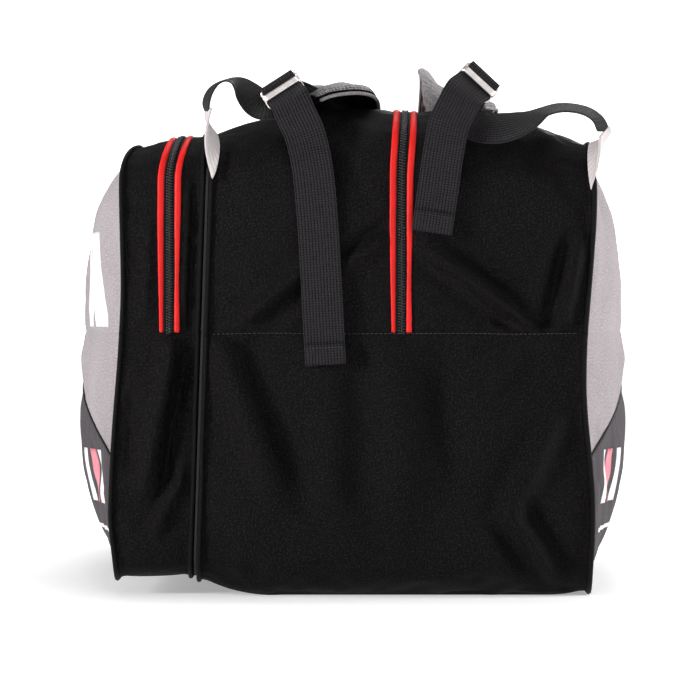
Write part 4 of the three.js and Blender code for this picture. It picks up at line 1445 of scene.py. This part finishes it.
# Each station is a place in millimetres, and the direction across the webbing there.
ROUTES = {
    "left": {
        "webbing_front": [
            ((-132, -444.5, 451), (-0.1, 1, 0.06)),
            ((-133.5, -444, 461), (-0.22, 0.96, 0)),
            ((-129.5, -443, 471.5), (-0.2, 0.97, 0.05)),
            ((-122, -442, 478.5), (-0.05, 0.99, 0.08)),
            ((-113, -441, 480.5), (0.15, 0.98, 0.1)),
            ((-104, -440, 477), (0.35, 0.9, 0.25)),
            ((-96, -439, 469), (0.5, 0.75, 0.4)),
            ((-88, -438, 461), (0.55, 0.65, 0.5)),
            ((-80, -437, 456), (0.6, 0.65, 0.4)),
            ((-68, -435, 455), (0.6, 0.7, 0.3)),
        ],
        "tail": [
            ((-62.4, -445.6, 470.6), (0.84, 0, 0.54)),
            ((-60.8, -449.4, 468), (0.84, 0, 0.54)),
            ((-58.4, -457, 464.8), (0.84, 0, 0.54)),
            ((-56, -462.4, 461.2), (0.845, 0, 0.53)),
            ((-53.6, -464, 456), (0.86, 0, 0.5)),
            ((-49.6, -464.6, 447), (0.92, 0, 0.38)),
            ((-42, -465, 430), (0.97, 0, 0.22)),
            ((-35, -469.5, 400), (0.99, 0, 0.12)),
            ((-30, -471, 350), (1, 0, 0.06)),
            ((-27, -471, 300), (1, 0, 0.05)),
            ((-24.5, -470.5, 252), (1, 0, 0.05)),
            ((-22.5, -470, 216), (1, 0, 0.05)),
        ],
        "pad": [
            ((-43, -433, 464), (0.62, -0.74, 0.3)),
            ((-34, -423, 470), (0.62, -0.77, 0.2)),
            ((-21, -409, 474), (0.7, -0.71, 0.12)),
            ((-10, -390, 475), (0.84, -0.52, 0.0)),
            ((-5, -362, 470.5), (0.94, -0.22, -0.26)),
            ((-4, -325, 465), (0.97, -0.08, -0.22)),
            ((-4, -275, 462), (0.99, -0.02, -0.08)),
            ((-8, -190, 460), (1, 0.03, 0)),
            ((-20, -70, 459.5), (1, 0.1, 0.02)),
            ((-36, 50, 457.5), (0.99, 0.12, 0.08)),
            ((-44, 110, 457), (0.99, 0.12, 0.1)),
        ],
        "webbing_rear": [
            ((-43.5, 104, 456), (0.99, 0.12, 0.1)),
            ((-54, 200, 450.8), (0.98, 0.15, 0.1)),
            ((-64, 290, 451), (0.95, 0.25, 0.12)),
            ((-74, 360, 455), (0.85, 0.45, 0.2)),
            ((-88, 408, 464), (0.6, 0.75, 0.2)),
            ((-104, 432, 472), (0.3, 0.93, 0.15)),
            ((-120, 442, 472), (0.05, 1, 0.05)),
            ((-131, 444.5, 464), (0.1, 1, 0)),
            ((-132, 444.5, 451), (0.1, 1, -0.06)),
        ],
    },
    "right": {
        "webbing_front": [
            ((236.5, -446.5, 433), (0.27, 0.9, 0.29)),
            ((232, -446, 444), (0.28, 0.92, 0.18)),
            ((222.5, -445, 451.5), (0.15, 0.95, 0.25)),
            ((209, -443, 455.5), (0.03, 0.96, 0.26)),
            ((195, -441, 456), (0, 0.96, 0.26)),
            ((181, -439, 452.5), (0.05, 0.93, 0.3)),
            ((165.5, -443, 445), (0.15, 0.82, 0.55)),
            ((149, -449, 438.5), (0.25, 0.68, 0.68)),
            ((133, -452, 435.5), (0.22, 0.6, 0.77)),
            ((118, -449, 438), (0.15, 0.62, 0.76)),
            ((106, -445, 443), (0.1, 0.66, 0.72)),
        ],
        "tail": [
            ((118.3, -445.6, 477.7), (0.73, 0, -0.68)),
            ((115.4, -450, 475.2), (0.74, 0, -0.67)),
            ((110.6, -459, 471.8), (0.78, 0, -0.63)),
            ((106.2, -465.4, 468.4), (0.83, 0, -0.55)),
            ((103.4, -468.4, 463.8), (0.89, 0, -0.45)),
            ((99.6, -469.6, 456), (0.96, 0, -0.27)),
            ((92, -470.5, 440), (0.99, 0, -0.1)),
            ((86, -472, 410), (1, 0, -0.05)),
            ((81, -473, 375), (1, 0, -0.03)),
            ((75.5, -472.5, 338.5), (1, 0, -0.02)),
        ],
        "pad": [
            ((108, -426, 462), (0.99, 0.12, -0.02)),
            ((104, -402, 461), (0.99, 0.1, 0)),
            ((102, -360, 461), (1, 0.02, -0.05)),
            ((104, -300, 460), (1, -0.05, -0.1)),
            ((108, -190, 456.5), (0.99, -0.06, -0.15)),
            ((118, -70, 454.5), (0.98, -0.08, -0.18)),
            ((130, 50, 454), (0.97, -0.1, -0.2)),
            ((137, 110, 453.5), (0.97, -0.1, -0.2)),
        ],
        "webbing_rear": [
            ((136.6, 104, 452.5), (0.97, -0.1, -0.2)),
            ((148, 200, 447.8), (0.96, -0.15, -0.2)),
            ((162, 290, 446), (0.94, -0.25, -0.15)),
            ((178, 358, 449), (0.85, -0.45, -0.05)),
            ((196, 404, 457), (0.6, -0.75, 0)),
            ((213, 430, 461), (0.3, -0.93, 0.1)),
            ((228, 441, 455), (0.15, -0.95, 0.2)),
            ((235.5, 446, 444), (0.27, -0.9, 0.2)),
            ((236.5, 447, 433), (0.27, -0.9, 0.29)),
        ],
    },
}


def near_front(u):
    return 1 - smooth((u - 0.16) / 0.24)


PAD_RISES = {
    "left": lambda u, w: -0.005 * np.abs(w) ** 2.2 * near_front(u),
    "right": lambda u, w: 0.037 * np.maximum(0, -w) ** 1.7 * near_front(u) * smooth((u + 0.05) / 0.16),
}


def pad_line(side, w, lift=0.0):
    """A line along the pad at a place w from its left edge, -1, to its right edge, 1."""
    at, across, out, along = strap_line(ROUTES[side]["pad"], PAD_STEP)
    u = along / along[-1]
    width = PAD_WIDTH * lerp(0.5, 1, smooth(np.minimum(u, 1 - u) / 0.09))
    rise = PAD_RISES[side](u, w) + lift
    return at + across * (w * width / 2)[:, None] + out * rise[:, None]


PAD_COLUMNS = 19
PAD_END = 0.008  # the length over which the pad's ends round off
QUILT_LINE = 0.44  # where the quilting runs, from the pad's middle, 0, to its edge, 1
EDGE_CORD_RADIUS = 0.0017


def pad_skin(side):
    """The pad's skin, which goes over it and back below it: its points, the distance along it at
    each row, and the place of each column, from -1 to 1 across the pad."""
    w = np.linspace(-1, 1, PAD_COLUMNS)
    belly = np.maximum(1 - np.abs(w) ** 8, 0) ** 0.5 * PAD / 2
    places = np.concatenate([w, w[-2:0:-1]])
    heights = np.concatenate([belly, -belly[-2:0:-1]])
    middle = np.stack([pad_line(side, place) for place in places], axis=1)
    along = strap_line(ROUTES[side]["pad"], PAD_STEP)[3]
    slope = np.gradient(middle[:, :PAD_COLUMNS], axis=1)
    forward = np.gradient(middle, axis=0)
    leaning = unit(np.cross(slope, forward[:, :PAD_COLUMNS]))
    leaning = np.concatenate([leaning, leaning[:, -2:0:-1]], axis=1)
    ends = np.minimum(along, along[-1] - along)
    taper = np.sqrt(np.clip(ends / PAD_END, 0.12, 1))
    return middle + leaning * (heights[None] * taper[:, None])[..., None], along, places


def make_pad(side):
    """A shoulder pad: mesh over foam, quilted in three channels. The left pad's underside and ends are black cloth, as
    painted shade for the shadow under its arch.
    """
    grid, along, places = pad_skin(side)
    rows, columns = grid.shape[:2]
    faces = grid_faces(rows, columns, wrap=True)
    slots = [1 if k % columns < PAD_COLUMNS - 1 else 0 for k in range(len(faces))]
    faces += [tuple(range(columns)), tuple(range((rows - 1) * columns, rows * columns))]
    slots += [0, 0]
    uv = np.stack(np.broadcast_arrays(along[:, None], places[None] * PAD_WIDTH / 2), axis=-1)
    # Painted shade: the left pad's underside is black cloth, standing in for the shadow under its arch; the right
    # pad's is mesh.
    materials = (BLACK if side == "left" else MESH, MESH)
    obj = mesh_object(f"{side}_pad_cover", grid, faces, uv, materials, slots)
    turn_faces_out(obj)
    stitched = (np.abs(np.abs(places) - QUILT_LINE) < 0.06) | (np.abs(places) > 0.97)
    pinned = np.broadcast_to(stitched[None], (rows, columns)).copy()
    pinned[[0, -1]] = True
    settle(obj, pinned.ravel(), 0.03, 4.0, 0.003)
    refine(obj)
    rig.slot(obj, "spacer_mesh")
    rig.replaces(obj, f"{side}_strap_pad")
    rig.padded(obj, fill=0.55)
    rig.ride(obj, f"{side}_strap")


def make_pad_edges(side):
    """The cords bound round the long edges of a pad."""
    for name, edge in (("left", -1.0), ("right", 1.0)):
        line = pad_line(side, edge * 0.985, -PAD * 0.42)
        cord = tube(f"{side}_pad_{name}_edge", line, EDGE_CORD_RADIUS, EDGE)
        attach(cord, "tab_grosgrain", on(f"{side}_strap"))


Adjuster = namedtuple("Adjuster", "at tilt")
ADJUSTERS = {
    "left": Adjuster(np.array((-0.064, -0.447, 0.473)), math.radians(32.7)),
    "right": Adjuster(np.array((0.1204, -0.447, 0.480)), math.radians(-43)),
}
WIRE_RADIUS = 0.0014
WIRE_CORNER = 0.0025
SLIDE_HALF = 0.0185  # half the length of the slide's bars
TOP_WIRE = 0.0064  # how far its upper wire is above its middle bar
LOW_WIRE = -0.0105


def adjuster_axes(side):
    """Along the adjuster's bar, and up across it, in the plane of the bag's end."""
    tilt = ADJUSTERS[side].tilt
    bar = np.array((math.cos(tilt), 0.0, math.sin(tilt)))
    up = np.array((-math.sin(tilt), 0.0, math.cos(tilt)))
    return bar, up


def make_adjuster(side):
    """A metal slide: a wire frame with a broad flat bar across it."""
    at = ADJUSTERS[side].at
    bar, up = adjuster_axes(side)
    corners = ((1, TOP_WIRE, 0), (-1, TOP_WIRE, 90), (-1, LOW_WIRE, 180), (1, LOW_WIRE, 270))
    outline = []
    for end, rise, first in corners:
        centre = (end * (SLIDE_HALF - WIRE_CORNER), rise - WIRE_CORNER * math.copysign(1, rise))
        for turn in np.radians(first + np.linspace(0, 90, 7)):
            outline.append((centre[0] + WIRE_CORNER * math.cos(turn),
                            centre[1] + WIRE_CORNER * math.sin(turn)))
    outline = np.array(outline)
    loop = at + outline[:, :1] * bar + outline[:, 1:] * up
    wire = tube(f"{side}_slide_frame", loop, WIRE_RADIUS, NICKEL, side=(0.0, 1.0, 0.0), closed=True)
    reach = np.linspace(-1, 1, 12)[:, None] * (SLIDE_HALF + 0.0006)
    middle = at + reach * bar + np.array((0, -0.0016, 0))
    across, out = frames_along(middle, up)
    flat = sweep(f"{side}_slide_bar", middle, across, out, flat_section(0.0064, 0.0022, 7), (NICKEL,))
    slide = joined(f"{side}_slide", [wire, flat])
    attach(slide, "adjuster_metal", on(f"{side}_strap"), f"{side}_strap_adjuster")


def make_roll(side):
    """The webbing that comes from the pad, and turns over the slide's upper wire from behind."""
    at = ADJUSTERS[side].at
    bar, up = adjuster_axes(side)
    top = TOP_WIRE / MM
    # Each place is so far up from the slide's middle bar and so far in behind it.
    wrap = [(-7, 8), (-2, 6), (2, 4.4), (top - 1.2, 3.0), (top + 1.6, 2.2), (top + 2.9, 0)]
    wrap += [(top + 1.8, -2.2), (top - 0.6, -2.9), (3.9, -1.4), (3.5, 0.8), (3.4, 2.6)]
    line = [at + up * (rise * MM) + np.array((0, depth * MM, 0)) for rise, depth in wrap]
    pad_start = np.array(ROUTES[side]["pad"][0][0]) * MM
    points = np.array([pad_start + np.array((0, 0.012, 0.0)), pad_start, *line])
    t, _ = even_steps(lambda t: spline(points, t), ROLL_STEP)
    path = spline(points, t)
    across, out = frames_along(path, bar)
    obj = sweep(f"{side}_roll", path, across, out, flat_section(0.0345, WEBBING, 9), (STRAP,))
    attach(obj, "webbing", on(f"{side}_strap"), f"{side}_strap_adjuster_loop")


HEM = 0.022
HEM_LIFT = 0.0019  # from the middle of the webbing to the middle of its hem
HEM_STITCH_LIFT = 0.0031


def make_tail(side):
    """The free end of the webbing, turned up and sewn at its end."""
    rows = ROUTES[side]["tail"]
    obj = webbing(f"{side}_tail_webbing", rows, f"{side}_strap_tail", PLACES[side]["tail"], TAIL_STEP)
    at, across, out, along = strap_line(rows)
    hem = along > along[-1] - HEM
    face = -out[hem] * np.sign(out[hem][:, 1:2])
    fold = sweep(f"{side}_tail_hem", at[hem] + face * HEM_LIFT, across[hem], out[hem],
                 flat_section(WEBBING_WIDTH - 0.0006, WEBBING, 9), (STRAP,))
    attach(fold, "webbing", on(f"{side}_tail"))
    index = np.flatnonzero(hem)[1]
    spread = np.linspace(-0.017, 0.017, 20)[:, None]
    line = at[index] + across[index] * spread + face[0] * HEM_STITCH_LIFT
    up = np.repeat(face[:1], len(spread), axis=0)
    stitches = stitch_run(f"{side}_tail_stitches", line, up, pitch=0.0036, length=0.0026)
    attach(stitches, "webbing", on(f"{side}_tail"))
    flat = (WEBBING_WIDTH, float(along[-1]))
    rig.sheet(obj, flat=flat, held="hung", rests_on=[f"{side}_slide"])


# In millimetres: the sewn edge's x, how far it bows in x, the top of its seam, the angle that it
# spans in degrees, the two ends of its tip, how far its sides bulge in x, and the body it rides.
TabShape = namedtuple("TabShape", "seam_x bow top_z spread near far bulges body")
TABS = {
    "left": TabShape(-128, 6.5, 430, 66, (-128.5, -463, 454.5), (-135, -426, 456), (-6, -3), "shell"),
    "right": TabShape(224, -3, 420, 60, (231.5, -463, 427.5), (241.8, -430, 438.6), (2, 9), "back_wall"),
}
TAB_LENGTH = 0.05
TAB_WIDTH = 0.045
TAB_RISE = 8.2  # from the seam's outline out to the tape's sewn edge, in millimetres


def make_tab(side, end):
    """A tape sewn round the corner of a seam, drawn together where it holds the webbing."""
    shape = TABS[side]
    corner = TOP_CORNER / MM
    radius = corner + TAB_RISE
    u, v = np.meshgrid(np.linspace(0, 1, 22), np.linspace(0, 1, 26), indexing="ij")
    angle = np.radians(lerp(-8, shape.spread, u))
    seam = np.stack(
        [
            shape.seam_x + shape.bow * np.sin(math.pi * u) ** 0.7,
            -450 + corner - radius * np.cos(angle),
            shape.top_z - corner + radius * np.sin(angle),
        ],
        axis=-1,
    )
    tip = lerp(np.array(shape.near)[None, None], np.array(shape.far)[None, None], u[..., None])
    grid = lerp(seam, tip, v[..., None])
    grid[..., 0] += np.sin(math.pi * v) * lerp(*shape.bulges, u)
    grid *= MM
    uv = np.stack([v * TAB_LENGTH, u * TAB_WIDTH], axis=-1)
    if end == "rear":
        grid[..., 1] *= -1
        grid, uv = grid[::-1], uv[::-1]
    obj = mesh_object(f"{side}_{end}_tab", grid, grid_faces(*grid.shape[:2]), uv, (TAB,))
    refine(obj)
    thicken(obj, 0.0022, 0.0)
    attach(obj, "tab_grosgrain", on(shape.body), f"{side}_tab_{end}")


def make_strap(side):
    for end, cloth in (("front", None), ("rear", f"main_gusset_{side}_cloth")):
        part = f"webbing_{end}"
        webbing(f"{side}_{end}_webbing", ROUTES[side][part], f"{side}_strap_{part}", PLACES[side][part],
                cloth=cloth)
    make_pad(side)
    make_pad_edges(side)
    make_adjuster(side)
    make_roll(side)
    make_tail(side)
    for end in ("front", "rear"):
        make_tab(side, end)


# ---- Sliders and pulls, kept from the frame ----

def finish_zip_metal():
    for prefix in ("main", "side"):
        for end in ("front", "rear"):
            for piece in ("slider", "pull"):
                node = frame["nodes"][f"{prefix}_{piece}_{end}"]
                node.data.materials.clear()
                node.data.materials.append(GUNMETAL)
                bevel = node.modifiers.new("Soft edges", "BEVEL")
                bevel.width = 0.0005
                bevel.segments = 2
                bevel.limit_method = "ANGLE"


# ---- The studio ----

def make_floor():
    """A pale floor that fades into a bright backdrop. The backdrop is seen, but casts no light."""
    reach = 30.0
    corners = [(-reach, -reach, 0), (reach, -reach, 0), (reach, reach, 0), (-reach, reach, 0)]
    floor = mesh_object("floor", corners, [(0, 1, 2, 3)])
    pale = Graph("pale_floor", **{"Emission Color": (1, 1, 1, 1)})
    soft = pale.noise(pale.place(), 3.0)
    away = pale.node("ShaderNodeVectorMath", {0: pale.place()}, operation="LENGTH").outputs["Value"]
    glow = pale.node("ShaderNodeMapRange", {0: away, 1: 0.8, 2: 5.0, 3: 0.35, 4: 1.0})
    pale.tree.links.new(glow.outputs[0], pale.shader.inputs["Emission Strength"])
    pale.color(pale.shades(soft, (1, 1, 1), (0.3, 0.90), (0.7, 0.92)))
    pale.shader.inputs["Roughness"].default_value = 0.9
    floor.data.materials.append(pale.material)
    bpy.ops.mesh.primitive_uv_sphere_add(segments=48, ring_count=24, radius=reach - 1)
    backdrop = bpy.context.object
    backdrop.name = "backdrop"
    bright = Graph("bright_backdrop", **{"Emission Color": (1, 1, 1, 1), "Emission Strength": 1.0})
    soft = bright.noise(bright.place(), 1.0)
    bright.color(bright.shades(soft, (1, 1, 1), (0.3, 0.9), (0.7, 1)))
    backdrop.data.materials.append(bright.material)
    backdrop.visible_diffuse = False
    backdrop.visible_glossy = False
    backdrop.visible_transmission = False
    backdrop.visible_shadow = False
    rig.stage(floor, backdrop)


WORLD_LIGHT = 0.16
LIGHT_AIM = (0.0, 0.0, 0.22)
# Name, place, size and power.
LIGHTS = (
    ("key", (-3.0, -1.9, 0.85), (0.7, 0.9), 108),
    ("fill", (1.6, -3.4, 1.6), (1.2, 1.2), 26),
    ("left", (-2.6, 1.2, 1.0), (1.2, 1.2), 8),
    ("right", (2.8, -0.2, 0.9), (1.4, 1.2), 70),
    ("top", (0.0, 0.6, 2.8), (1.6, 1.6), 40),
    ("rear", (0.6, 3.2, 1.3), (1.6, 1.2), 46),
)


def area_light(name, at, size, power):
    light = bpy.data.lights.new(name, "AREA")
    light.shape = "RECTANGLE"
    light.size, light.size_y = size
    light.energy = power
    obj = bpy.data.objects.new(name, light)
    bpy.context.scene.collection.objects.link(obj)
    obj.location = at
    obj.rotation_euler = (Vector(LIGHT_AIM) - Vector(at)).to_track_quat("-Z", "Y").to_euler()


def make_light():
    scene = bpy.context.scene
    scene.view_settings.view_transform = "Standard"
    scene.view_settings.look = "None"
    world = bpy.data.worlds.new("studio")
    world.use_nodes = True
    background = world.node_tree.nodes["Background"]
    background.inputs["Color"].default_value = (1, 1, 1, 1)
    background.inputs["Strength"].default_value = WORLD_LIGHT
    scene.world = world
    for light in LIGHTS:
        area_light(*light)


CAMERA_X = -0.0023
CAMERA_Y = -3.96
CAMERA_Z = 0.262
AIM_Z = 0.2316
CAMERA_FILM = 0.646  # the width seen at the bag's near end
NEAR_END_Y = -0.46
SENSOR = 36.0


def make_camera():
    data = bpy.data.cameras.new("camera")
    data.sensor_width = SENSOR
    data.lens = SENSOR * (NEAR_END_Y - CAMERA_Y) / CAMERA_FILM
    camera = bpy.data.objects.new("camera", data)
    bpy.context.scene.collection.objects.link(camera)
    camera.location = (CAMERA_X, CAMERA_Y, CAMERA_Z)
    target = Vector((CAMERA_X, NEAR_END_Y, AIM_Z))
    camera.rotation_euler = (target - camera.location).to_track_quat("-Z", "Y").to_euler()
    bpy.context.scene.camera = camera


# ---- The bag ----

make_camera()
make_light()
make_floor()
make_zip_gusset("main", MAIN_OVER, MAIN_ZIP_X,
                {"left": on("shell"), "right": folds_with("back_wall")}, MAIN_END_CREASES)
make_zip_gusset("side", SIDE_OVER, SIDE_ZIP_X,
                {"left": folds_with("front_wall"), "right": on("shell")}, SIDE_END_CREASES)
make_lower_gusset("main", MAIN_UNDER, MAIN_LOWER_CREASES)
make_lower_gusset("side", SIDE_UNDER, SIDE_LOWER_CREASES)
Face("front", FRONT, -1, 0.056, 1.15, 0.65, "front_wall", -0.398).make()
Face("back", BACK, 1, 0.058, 0.97, 0.9, "back_wall", -0.060).make()
make_divider()
make_face_piping("front", FRONT, -FACE_SEAM_GAP, "front_wall")
make_face_piping("back", BACK, FACE_SEAM_GAP, "back_wall")
make_divider_piping("side_divider_cord", "side_divider_piping", SIDE_INNER)
make_divider_piping("main_divider_cord", "main_divider_piping", MAIN_INNER)
make_end_seams()
for strap_side in ("left", "right"):
    make_strap(strap_side)
finish_zip_metal()

with open(SIZE_FILE, "w") as size_file:
    json.dump({"cad": CAD_BOX, "visual": [list(corner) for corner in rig.bounds()]}, size_file)
